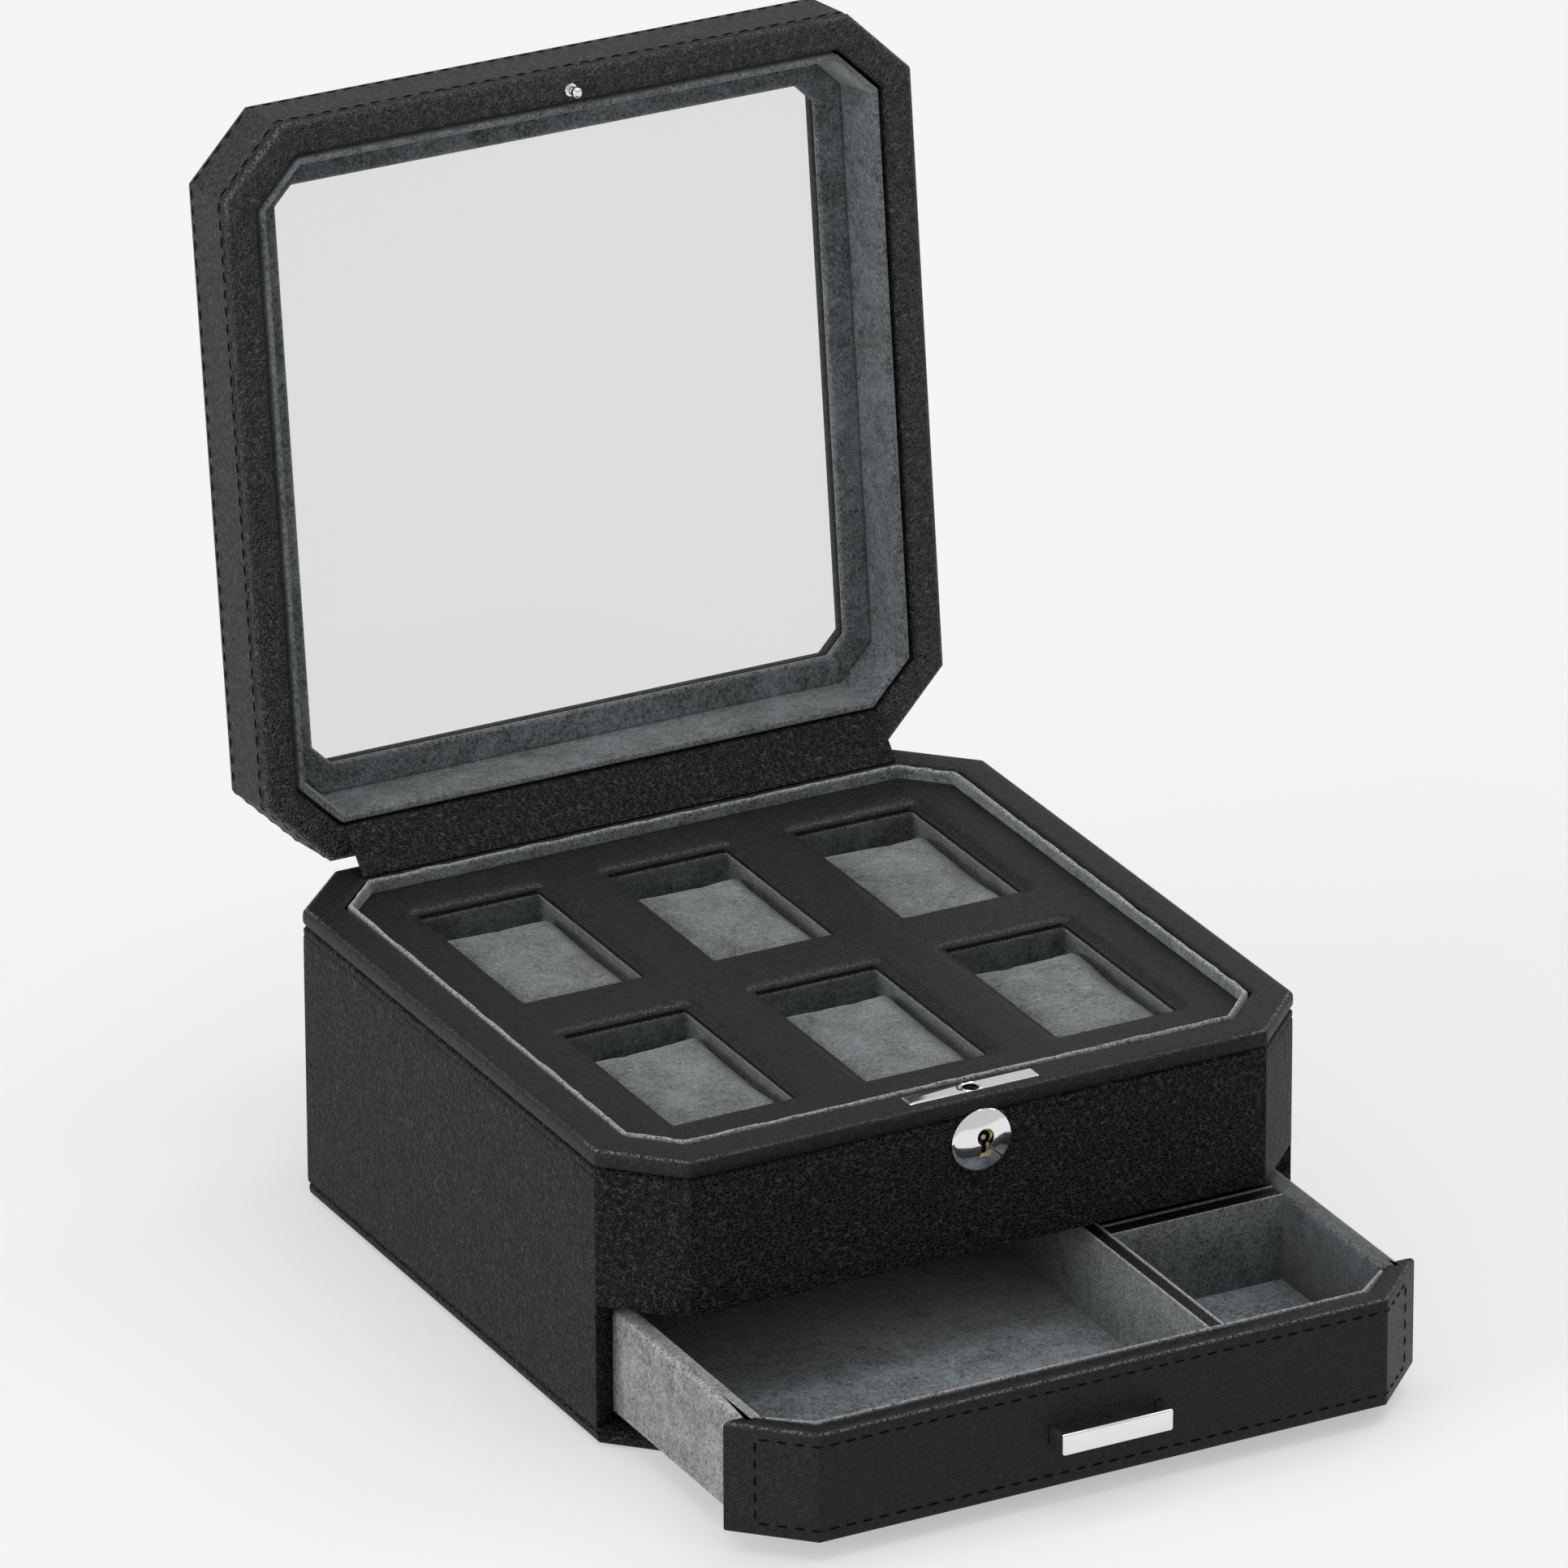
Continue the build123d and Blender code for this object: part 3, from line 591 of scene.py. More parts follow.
def metal(name, color, rough, smear=0.04):
    """Metal with faint smears in its polish."""
    item, tree, shader, where = material(name)
    smears = noise_at(tree, where, 4.0, 4.0, 0.6)
    feed(tree, shader, {
        "Base Color": blend_colors(tree, smears, [c * 0.92 for c in color] + [1], [*color, 1]),
        "Roughness": calc(tree, "MULTIPLY_ADD", smears, smear, rough),
        "Metallic": 1.0,
    })
    return item


def clear(name):
    """Thin clear glass with a slight grey tint."""
    item, tree, shader, where = material(name)
    haze = noise_at(tree, where, 60.0, 2.0)
    feed(tree, shader, {
        "Base Color": blend_colors(tree, haze, grey(0.10), grey(0.14)),
        "Roughness": 0.03,
        "Alpha": 0.12,
        "Specular IOR Level": 0.3,
    })
    return item


def plain(name, value, size, rough=0.9, depth=0.1, shine=0.25):
    """Board or felt: dull, with a fine mottled surface."""
    item, tree, shader, where = material(name)
    spots = noise_at(tree, where, size, 4.0, 0.6)
    feed(tree, shader, {
        "Base Color": blend_colors(tree, spots, grey(value * 0.6), grey(value * 1.4)),
        "Roughness": rough,
        "Specular IOR Level": shine,
        "Normal": bump(tree, spots, depth),
    })
    return item


WORN_AND_GLINT = 0.16                                # how pale the leather's edges are drawn, where rubbed and where a glint is painted

CASE_LEATHER = leather(
    "case_leather", 0.001, 0.006, 0.95, 0.8, 0.42, 0.10, long=1.8, turns=(0.15, 0.95), crinkle_glint=0.045
)
BAND_LEATHER = leather(
    "band_leather", 0.005, 0.018, 0.95, 0.4, 0.5, 0.2, crinkle_glint=0.065, tint=(1.06, 1.0, 0.96)
)
RIM_LEATHER = leather(
    "rim_leather", 0.001, 0.014, 1.05, 1.1, 0.36, 0.30, crinkle_glint=0.08, tint=(0.97, 0.97, 1.12)
)
SMOOTH_LEATHER = leather("smooth_leather", 0.003, 0.009, 1.0, 0.16, 0.40, 0.18, crinkle_glint=0.02)
FLAP_LEATHER = leather(
    "flap_leather", 0.002, 0.008, 0.9, 0.9, 0.4, 0.17, long=2.6, turns=(0.6, 0.9), crinkle_glint=0.05
)
SUEDE = suede("suede", 0.02, 0.16, 0.8, tint=(0.90, 1.03, 1.08))
SIDE_SUEDE = suede("side_suede", 0.04, 0.27, 0.9, tint=(0.98, 1.0, 1.02))
# Painted shade: a darker copy of the suede, for the drawer's right board, whose inner face lies in
# shadow.
SHADED_SUEDE = suede("shaded_suede", 0.008, 0.08, 0.8, tint=(0.88, 1.03, 1.12))
FLOOR_SUEDE = suede("floor_suede", 0.03, 0.30, 0.9, tint=(0.90, 1.03, 1.1))
CUSHION_SUEDE = suede(
    "cushion_suede", 0.008, 0.26, 0.9, tint=(0.91, 1.01, 1.05), depth=0.6, swirl=3.0
)
CHROME = metal("chrome", (0.86, 0.86, 0.87), 0.05)
BRASS = metal("brass", (0.50, 0.44, 0.20), 0.22, 0.1)
STEEL = metal("steel", (0.5, 0.5, 0.52), 0.3, 0.1)
GLASS = clear("glass")
BOARD = plain("board", 0.010, 1.2)
FELT = plain("felt", 0.012, 0.6, 1.0, 0.3)
THREAD = plain("thread", 0.004, 0.5, 1.0, 0.15, 0.02)

finishes = {
    "lid_glass": GLASS, "base_felt": FELT, "lock_tumbler": BRASS, "lid_pin": CHROME,
    "middle_shelf": BOARD, "bay_liner": BOARD, "latch": STEEL, "lock_body": STEEL,
    "drawer_floor": BOARD,
}
for name, piece in frame["nodes"].items():
    finish = STEEL if "screws" in name or "hinge" in name else finishes.get(name)
    if finish:
        piece.data.materials.clear()
        piece.data.materials.append(finish)


# ---- case ----

def hinge_room(points, sign):
    """Gives way for a hinge at the back, under (-1) or over (+1) the joint between the rims."""
    moved = []
    for p in points:
        q = p.copy()
        if HINGE_SPAN[0] < abs(p.x) < HINGE_SPAN[1] and p.y > LEAF_FRONT:
            face = HINGE_Z + sign * (0.25 + HINGE_LEAF + 0.05)
            q.z = max(q.z, face) if sign > 0 else min(q.z, face)
            reach = Vector((0, q.y - HINGE_Y, q.z - HINGE_Z))
            if reach.length < HINGE_CLEAR:
                q = Vector((p.x, HINGE_Y, HINGE_Z)) + reach.normalized() * HINGE_CLEAR
        moved.append(q)
    return moved


def make_case():
    base = [
        (9.0, BASE_BOTTOM), (2.2, BASE_BOTTOM), (1.2, BASE_BOTTOM + 0.3), (0.6, 1.6), (0.35, 3.0),
        (0.5, 4.0), (1.3, 4.5), (0.35, 5.0), (0.05, 5.5), (0.1, BASE_TOP), (9.0, BASE_TOP),
    ]
    rows, _ = lay(base, case_outline)
    cover = sweep("base_cover", rows, CASE_LEATHER, ring=False, caps=True)
    settle(cover, "case", "leather_black", "base_board")

    heights = [
        (0.1, BASE_TOP), (0, 6.6), (0, 14), (0, 24), (0, 34), (0, FASCIA_BOTTOM), (0, 54), (0, 64),
        (0, 74), (0, 82), (0.05, 87.1), (0.3, 87.7), (0.1, 88.3), (0.1, 89.6), (0.6, 90.2),
        (1.9, CAP_BOTTOM),
    ]
    outer, _ = lay(heights, case_outline)
    inner, _ = lay([(WALL, z) for _, z in heights], case_outline)
    front = -(HALF - CHAMFER) + 0.3

    def walled(row, column):
        here = (outer[0][column] + outer[0][(column + 1) % len(outer[0])]) / 2
        return heights[row][1] >= FASCIA_BOTTOM or here.y > front

    skin = bevel(shell("case_cover", outer, inner, walled, CASE_LEATHER), 0.5)
    settle(
        skin, "case", "leather_black", "side_wall_left", "side_wall_right", "back_wall", "front_fascia"
    )

    cap = [
        (WALL, CAP_BOTTOM), (1.9, CAP_BOTTOM + 0.05), (0.5, 91.0), (0.0, 92.0), (-0.1, 93.4), (0.0, 94.8),
        (0.25, 95.6), (0.75, 96.15, 1), (1.5, 96.45), (2.6, RIM), (4.7, RIM + 0.05), (5.2, RIM + 0.05),
        (9.4, RIM), (9.8, RIM), (11.0, RIM - 0.15), (11.6, RIM - 0.7), (11.7, CAP_BOTTOM),
    ]
    rows, wear_and_sheen = lay(cap, case_outline)
    rows = [hinge_room(row, -1) for row in rows]
    for (inset, *_), row in zip(cap, rows):
        if LOCK_ROOM_INSET[0] < inset < LOCK_ROOM_INSET[1]:
            for p in row:
                if abs(p.x) < LOCK_ROOM and p.y < 0:
                    p.z = CAP_BOTTOM + 0.1
    rim = sweep("rim_cover", rows, SMOOTH_LEATHER, wear_and_sheen=wear_and_sheen, rub_and_glint=chafe_and_glint)
    settle(rim, "case", "leather_black", "rim_cap")

    low, high = (corner.z for corner in span("rim_lining"))
    lining = [
        (0.05, low), (0.05, high - 1.2), (0.2, high - 0.35, 0.8), (0.6, high, 1), (1.0, high, 1),
        (1.35, high - 0.35, 0.8), (LINING, high - 1.0, 0.1), (LINING, low),
    ]
    rows, wear_and_sheen = lay(lining, lambda inset: case_outline(RIM_WIDTH + inset, 2.2))
    rows = [frayed(row, value) for row, value in zip(rows, wear_and_sheen)]
    trim = sweep("rim_trim", rows, SUEDE, wear_and_sheen=wear_and_sheen)
    settle(trim, "case", "suede_grey", "rim_lining")


# ---- tray and wells ----

def well_places():
    """Middles of the six wells in the frame."""
    return [(low + high) / 2 for low, high in (span(f"well_lining_{number}") for number in range(1, 7))]


def box_distance(x, y, half_x, half_y, radius):
    """Distance outside a rounded rectangle round the origin; negative inside it."""
    over_x = abs(x) - half_x + radius
    over_y = abs(y) - half_y + radius
    return hypot(max(over_x, 0), max(over_y, 0)) + min(max(over_x, over_y), 0) - radius


def octagon_distance(x, y, inset):
    """Distance inside the case's outline moved in by this much."""
    straight = HALF - inset - max(abs(x), abs(y))
    corner = (2 * HALF - CHAMFER - abs(x) - abs(y)) / sqrt(2) - inset
    return min(straight, corner)


def rectangle(middle, size, radius):
    half_x = size[0] / 2
    half_y = size[1] / 2
    corners = [(half_x, -half_y), (half_x, half_y), (-half_x, half_y), (-half_x, -half_y)]
    return [point + middle.xy for point in rounded(corners, radius, 5)]


def split(loop, step):
    """Adds points along the long sides of a closed outline."""
    points = []
    for index, point in enumerate(loop):
        following = loop[(index + 1) % len(loop)]
        count = max(1, ceil((following - point).length / step))
        points += [point.lerp(following, k / count) for k in range(count)]
    return points


ROLL = 2.6                                 # radius of the padded roll at each edge of the tray
TRAY_SKIN = 1.3                            # how much of the tray's thickness shows at a window
TRAY_FACE = TRAY_TOP - 0.4                 # the rest is left to the swell between the windows


def make_tray():
    places = well_places()

    def edge(x, y):
        windows = [box_distance(x - p.x, y - p.y, WINDOW[0] / 2, WINDOW[1] / 2, 3.0) for p in places]
        return min(min(windows), octagon_distance(x, y, TRAY_INSET))

    def height(x, y):
        away = max(edge(x, y), 0.0)
        drop = ROLL - sqrt(max(ROLL**2 - max(ROLL - away, 0.0) ** 2, 0.0))
        swell = 0.4 * (1 - exp(-away / 5.0))
        ripple = 0.12 * noise.noise(Vector((x, y, 0)) / 14)
        return TRAY_FACE - drop * 0.5 + swell + ripple

    # Painted glint: each window's back edge, where the roll faces forward, is drawn much paler; elsewhere
    # a faint paleness stands for wear.
    def wear_and_back_glint(x, y):
        beyond = min(
            abs(y - p.y - WINDOW[1] / 2) + max(0.0, abs(x - p.x) - WINDOW[0] / 2) for p in places
        )
        strength = 0.9 if beyond < 2.0 else 0.15
        return strength * exp(-((edge(x, y) - 0.5) / 0.35) ** 2)

    bottom = TRAY_FACE - ROLL / 2 - TRAY_SKIN
    holes = [split(rectangle(p, WINDOW, 3.0), 2.5) for p in places]
    outline = split(octagon(HALF - TRAY_INSET, CHAMFER - LEG_RATE * TRAY_INSET, 2.0), 3.0)
    rings = [0.12, 0.35, 0.65, 1.0, 1.5, 2.2, 3.2, 4.4]
    tray = plate(
        "tray_cover", outline, holes, rings, 2.8, height, bottom, SMOOTH_LEATHER, wear_and_back_glint
    )
    settle(tray, "case", "leather_smooth", "tray_frame")

    for number, place in enumerate(places, start=1):
        low, high = span(f"well_lining_{number}")
        top = bottom - 0.05
        profile = [
            (LINING, low.z), (LINING, high.z), (0, top, 1), (-0.9, top - 0.1, 1), (-1.4, top - 0.6, 1),
            (-1.2, top - 1.4, 0.2), (-0.4, top - 3.0), (0, top - 6.0), (0, low.z + 2.0),
            (-1.0, low.z + 1.0),
        ]
        rows, wear_and_sheen = lay(
            profile, lambda grow: rectangle(place, (WELL[0] + 2 * grow, WELL[1] + 2 * grow), 3.0)
        )
        cell = sweep(f"well_cell_{number}", rows, SUEDE, wear_and_sheen=wear_and_sheen, ring=False, caps=True)
        settle(cell, "case", "suede_grey", f"well_lining_{number}")


# ---- cushions ----

GROW = 10                                  # cloth is simulated this many times larger
SLACK = (0.6, 1.0, 3.2)                    # how much smaller the box is that gets blown up
PRESSURE = 4.0
FRAMES = 20
PUFF = 1.6                                 # how far the cloth may swell
CROWN = 1.0                                # how much higher a cushion is in its middle


def blow_up(piece):
    """Where the pressure inside moves the points of a piece of cloth."""
    cloth = piece.modifiers.new("cloth", "CLOTH")
    cloth.settings.use_pressure = True
    cloth.settings.uniform_pressure_force = PRESSURE
    cloth.settings.effector_weights.gravity = 0
    cloth.settings.bending_stiffness = 2.0
    cloth.collision_settings.use_self_collision = False
    for step in range(1, FRAMES + 1):
        bpy.context.scene.frame_set(step)
    blown = piece.evaluated_get(bpy.context.evaluated_depsgraph_get())
    moved = [v.co.copy() for v in blown.to_mesh().vertices]
    blown.to_mesh_clear()
    piece.modifiers.remove(cloth)
    bpy.context.scene.frame_set(1)
    return moved


def cushion(number):
    """A suede pillow: a box smaller than its well, blown up as cloth and pressed flat below."""
    low, high = span(f"cushion_{number}")
    middle = (low + high) / 2
    size = high - low
    bm = bmesh.new()
    bmesh.ops.create_cube(bm, size=1)
    bmesh.ops.subdivide_edges(bm, edges=bm.edges[:], cuts=3, use_grid_fill=True)
    shrink = Vector([size[axis] - SLACK[axis] for axis in range(3)]) / 1000 * GROW
    for v in bm.verts:
        v.co = Vector((v.co.x * shrink.x, v.co.y * shrink.y, v.co.z * shrink.z))
    mesh = bpy.data.meshes.new(f"pillow_{number}")
    bm.to_mesh(mesh)
    bm.free()
    piece = bpy.data.objects.new(f"pillow_{number}", mesh)
    bpy.context.scene.collection.objects.link(piece)
    bpy.context.view_layer.objects.active = piece
    alter(piece, "BEVEL", width=0.02, segments=3, limit_method="ANGLE")
    alter(piece, "REMESH", mode="VOXEL", voxel_size=0.018)
    start = [v.co.copy() for v in piece.data.vertices]
    for v in piece.data.vertices:
        v.co += noise.noise_vector(v.co * 5 + Vector((number * 7.3, 0, 0))) * 0.006
    moved = blow_up(piece)
    cap = PUFF / 1000 * GROW
    floor = low.z + 0.3
    for v, before, after in zip(piece.data.vertices, start, moved):
        step = after - before
        if step.length > cap:
            step *= cap / step.length
        p = (before + step) * 1000 / GROW
        for axis in (0, 1):
            rest = before[axis] * 1000 / GROW
            if abs(p[axis]) < abs(rest):
                p[axis] = rest
            p[axis] = max(-size[axis] / 2, min(size[axis] / 2, p[axis]))
        across = (abs(p.x) * 2 / size.x, abs(p.y) * 2 / size.y)
        crown = CROWN * (1 - across[0] ** 4) * (1 - across[1] ** 5)
        if p.z > 0:
            p.z += crown * min(1, p.z / (size.z / 2))
        z = middle.z + p.z - CROWN
        v.co = Vector((middle.x + p.x, middle.y + p.y, max(floor, min(high.z, z)))) / 1000
    alter(piece, "SUBSURF", levels=1, render_levels=1)
    piece.data.materials.append(CUSHION_SUEDE)
    piece.data.shade_smooth()
    settle(piece, f"cushion_{number}", "cushion_suede", f"cushion_{number}")


# ---- lid, shaped closed ----

def lid_opening(grow, radius):
    return octagon(LID_OPENING + grow, LID_OPENING_LEG + LEG_RATE * grow, radius)


def make_lid():
    rim = [
        (LID_RIM_WIDTH, LID_SEAM), (LID_RIM_WIDTH, 0.9), (LID_RIM_WIDTH - 0.4, 0.3, 0.3), (9.2, 0.05),
        (7.5, 0), (4.0, 0), (1.6, 0.05, 0.1), (0.8, 0.3, 0.8), (0.3, 0.7, 1), (-0.1, 1.7, 0.1),
        (0.1, 2.4), (0.6, 2.9), (1.6, LID_SEAM),
    ]
    rows, wear_and_sheen = lay(rim, lid_outline, LID_FACE)
    rows = [hinge_room(row, 1) for row in rows]
    pad = sweep("lid_rim_cover", rows, RIM_LEATHER, wear_and_sheen=wear_and_sheen, rub_and_glint=chafe_and_glint, place=OPENED)
    settle(pad, "lid", "leather_black", "lid_rim")

    band = [
        (LID_RIM_WIDTH, LID_SEAM), (1.6, LID_SEAM + 0.1), (0.5, 3.3), (0.1, 3.9), (0, 5.2), (0, 9.0),
        (0, 14.0), (0, 19.0), (0, 24.6), (0.15, 25.6), (0.6, 26.2), (1.4, LID_TOP[1]), (6.0, LID_TOP[1]),
        (14.0, LID_TOP[1]), (21.0, LID_TOP[1]),
    ]
    opening = [(1.0, LID_TOP[1]), (0.3, 26.2), (0.0, 25.6), (0.0, 23.8), (0.35, 23.0)]
    rows, _ = lay(band, lid_outline, LID_FACE)
    rows = [hinge_room(row, 1) for row in rows]
    rows += lay(opening, lambda grow: lid_opening(grow, 1.2), LID_FACE)[0]
    rows.append(level(octagon(LID_OPENING + 1.2, LID_OPENING_LEG + 0.7, 1.2), LID_FACE + LID_TOP[0]))
    rows.append(level(lid_outline(LID_RIM_WIDTH), LID_FACE + LID_TOP[0]))
    cover = sweep("lid_cover", rows, BAND_LEATHER, place=OPENED)
    settle(cover, "lid", "leather_black", "lid_frame", "lid_top_frame")

    paths = []
    outline = lid_outline(STITCH_INSET)
    for height in LID_STITCHES:
        path = []
        for index, point in enumerate(outline):
            ahead = (outline[(index + 1) % len(outline)] - outline[index - 1]).normalized()
            path.append((Vector((*point, LID_FACE + height)), Vector((ahead.y, -ahead.x, 0))))
        paths.append(path + path[:1])
    settle(stitches("lid_stitches", paths, THREAD, OPENED), "lid", "leather_black")

    side = LID_RIM_WIDTH + 0.15
    inner = LID_RIM_WIDTH + 0.3 - 0.1 + LINING
    lining = [
        (side, LID_LEDGE[0], 2.5), (side, 1.2, 2.5), (side + 0.3, 0.5, 2.5), (side + 0.8, 0.3, 2.5),
        (inner - 0.3, 0.6, 3), (inner, 1.3, 3), (inner, 6.0, 3.5), (inner, 12.0, 4),
        (inner, 17.0, 4.5), (inner - 0.3, 18.0, 5), (inner - 0.2, 18.6, 5), (inner + 0.5, 18.2, 5),
        (inner + 1.2, LID_LEDGE[0], 5),
    ]
    rows = [level(lid_outline(inset, radius), LID_FACE + height) for inset, height, radius in lining]
    wear_and_sheen = [0, 0, 0.1, 0.2, 0.1] + [0] * 8
    ledge = [(6.0, 0.05), (1.4, 0.1), (0.5, 0.35, 0.3), (0.05, 0.9, 0.4), (0.2, 1.7)]
    more, more_wear_and_sheen = lay(ledge, lambda grow: lid_opening(grow, 2.0), LID_FACE + LID_LEDGE[0])
    rows += more
    rows.append(level(octagon(LID_OPENING + 1.5, LID_OPENING_LEG + 0.9, 2.0), LID_FACE + LID_LEDGE[1]))
    rows.append(level(lid_outline(side), LID_FACE + LID_LEDGE[1]))
    wear_and_sheen += more_wear_and_sheen + [0, 0]
    trim = sweep("lid_trim", rows, SUEDE, wear_and_sheen=wear_and_sheen, place=OPENED)
    settle(trim, "lid", "suede_grey", "lid_lining", "lid_ledge")


# ---- leather flap inside the hinges ----

def make_flap():
    low, high = span("hinge_flap")
    half = high.x
    start = Vector((low.y + 0.6, low.z))
    end = Vector((high.y - 0.3, high.z - 0.1))
    along = (end - start).normalized()
    out = Vector((-along.y, along.x))
    length = (end - start).length
    thick = 0.8
    steps = 14
    columns = 61
    rows = []
    for outer in (True, False):
        for k in range(steps + 1) if outer else range(steps, -1, -1):
            share = k / steps
            ridge = exp(-((share * length - 1.6) / 0.7) ** 2)
            bulge = 0.35 * sin(pi * share) + 0.5 * ridge
            row = []
            for c in range(columns):
                x = half * (2 * c / (columns - 1) - 1)
                ripple = 0.12 * noise.noise(Vector((x / 16, share * 2, 0)))
                lift = (bulge + ripple) * (0.9 if outer else 0.6) + (thick if outer else 0.0) - 0.2
                spot = start + along * share * length + out * lift
                row.append(Vector((x, spot.x, spot.y)))
            rows.append(row)
    flap = sweep("flap", rows, FLAP_LEATHER, loop=False, caps=True, smooth=radians(60))
    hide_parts("hinge_flap")
    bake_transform(flap)


# ---- lock ----

LOCK_Z = 82.4
DOME = (10.0, 2.3)                         # radius and rise of the keyhole plate
STRIKE_HOLE = 2.5
FACE_FRONT = Matrix.Translation((0, -HALF, LOCK_Z)) @ Matrix.Rotation(pi / 2, 4, "X")


def circle(radius, count, middle=(0, 0)):
    angles = [2 * pi * k / count for k in range(count)]
    return [Vector((middle[0] + radius * cos(a), middle[1] + radius * sin(a))) for a in angles]


def make_lock():
    radius, rise = DOME
    ball = (radius**2 + rise**2) / (2 * rise)

    def dome(x, y):
        away = min(hypot(x, y), radius)
        height = sqrt(ball**2 - away**2) - ball + rise
        return max(height, 0.0) + 0.35 * min(1.0, (radius - away) / 0.5)

    head = 2.75
    slot = 1.45
    foot = 1.9
    head_y = 1.75
    keyhole = [
        Vector((head * cos(a), head_y + head * sin(a)))
        for a in (radians(-58 + 296 * k / 24) for k in range(25))
    ]
    skirt = ((-slot, -2.2), (-foot, -4.6), (foot, -4.6), (slot, -2.2))
    keyhole += [Vector(corner) for corner in skirt]
    keyhole = split(keyhole, 0.8)
    shield = plate(
        "keyhole_plate", circle(radius, 72), [keyhole], [0.15, 0.35, 0.7], 0.8, dome, -0.2, CHROME,
        place=FACE_FRONT,
    )
    settle(shield, "case", "chrome", "escutcheon")

    low, high = span("strike_plate")
    middle = (low + high) / 2
    size = high - low
    hole = circle(STRIKE_HOLE, 36, middle.xy)
    outline = split(rectangle(middle, (size.x, size.y), 0.6), 0.8)

    def strike(x, y):
        side = -box_distance(x - middle.x, y - middle.y, size.x / 2, size.y / 2, 0.6)
        ring = hypot(x - middle.x, y - middle.y) - STRIKE_HOLE
        soften = 0.25 * (1 - min(1.0, side / 0.45)) ** 2
        lip = 0.16 * exp(-((ring - 0.55) / 0.25) ** 2) - 0.3 * max(0.0, 1 - ring / 0.35)
        return high.z + 0.05 - soften + lip

    bar = plate(
        "strike_bar", outline, [hole], [0.12, 0.25, 0.45, 0.65, 0.9], 1.2, strike, low.z, CHROME
    )
    settle(bar, "case", "chrome", "strike_plate")


# ---- drawer ----

FRONT_THICK = 6.5                          # from the front's face to its inner face


def front_outline(inset):
    """The drawer front's outer line, from the end of one wrapped corner to the end of the other."""
    low, high = span("drawer_front")
    half = high.x
    face = low.y + inset
    leg = high.y - low.y
    shift = inset * tan(radians(22.5))
    x_end = half - inset * sqrt(2)
    x_corner = half - leg - shift
    corners = [(-x_end, high.y), (-x_corner, face), (x_corner, face), (x_end, high.y)]
    points = rounded(corners, 1.2, closed=False)
    dense = []
    for index, (a, b) in enumerate(zip(points, points[1:])):
        count = {0: 6, 5: 48, 10: 6}.get(index, 1)
        dense += [a.lerp(b, k / count) for k in range(count)]
    return dense + points[-1:]


def make_drawer():
    low, high = span("drawer_front")
    bottom = low.z
    top = high.z
    profile = [
        (FRONT_THICK, bottom + 0.3), (0.8, bottom), (0.2, bottom + 0.3, 0.1), (0, bottom + 1.0),
        (0, bottom + 9), (0, bottom + 18), (0, bottom + 27), (0, top - 2.0), (0.1, top - 1.1),
        (0.45, top - 0.45, 0.9), (1.1, top - 0.1), (2.2, top), (4.6, top), (5.8, top - 0.2),
        (FRONT_THICK, top - 0.9),
    ]
    rows, wear_and_sheen = lay(profile, front_outline)
    cover = sweep("drawer_cover", rows, SMOOTH_LEATHER, wear_and_sheen=wear_and_sheen, loop=False, caps=True)
    settle(cover, "drawer", "leather_black", "drawer_front")

    paths = []
    line = front_outline(STITCH_INSET)
    seams = (bottom + 4.0, top - 4.2)
    for z in seams:
        path = []
        for index in range(1, len(line) - 1):
            along = (line[index + 1] - line[index - 1]).normalized()
            path.append((Vector((*line[index], z)), Vector((along.y, -along.x, 0))))
        paths.append(path[1:-1])
    for index in (2, -3):
        along = (line[index + 1] - line[index - 1]).normalized()
        out = Vector((along.y, -along.x, 0))
        paths.append([(Vector((*line[index], z)), out) for z in seams])
    settle(stitches("drawer_stitches", paths, THREAD), "drawer", "leather_black")

    board("drawer_side_cover_left", "drawer_side_left", SIDE_SUEDE, "left")
    # The right board gets the darker copy of the suede, as painted shade.
    board("drawer_side_cover_right", "drawer_side_right", SHADED_SUEDE, "right")
    board("drawer_back_cover", "drawer_back", SUEDE)

    lo, hi = span("drawer_front_lining")
    strip = [
        (0.0, lo.z), (0.0, hi.z - 0.4, 0.4), (0.4, hi.z, 1), (0.8, hi.z, 1), (1.2, hi.z - 0.4, 0.4),
        (1.2, lo.z),
    ]
    rows, wear_and_sheen = lay(strip, front_inner)
    trim = sweep("drawer_front_trim", rows, SUEDE, wear_and_sheen=wear_and_sheen, loop=False, caps=True)
    settle(trim, "drawer", "suede_grey", "drawer_front_lining")

    lo, hi = span("drawer_lining")
    plan = rounded(
        [(p.x, p.y) for p in front_inner(0.6)] + [(hi.x - 0.3, hi.y), (lo.x + 0.3, hi.y)], 0.6, 2
    )
    pad = prism("drawer_floor_cover", plan, lo.z, hi.z, FLOOR_SUEDE, 0.4)
    settle(pad, "drawer", "suede_grey", "drawer_lining")

    for name in ("long_divider", "cross_divider"):
        divider(name, *span(name))
    pull()


def front_inner(inset):
    """The line of the front's inner face and corners, from side wall to side wall."""
    low, high = span("drawer_front")
    depth = FRONT_THICK + inset
    half = span("drawer_lining")[1].x - inset * 0.4
    leg = high.y - low.y
    x_corner = high.x - leg - depth * tan(radians(22.5))
    face = low.y + depth
    y_side = face + half - x_corner
    line = [(-half, y_side), (-x_corner, face), (x_corner, face), (half, y_side)]
    return rounded(line, 2.5, closed=False)


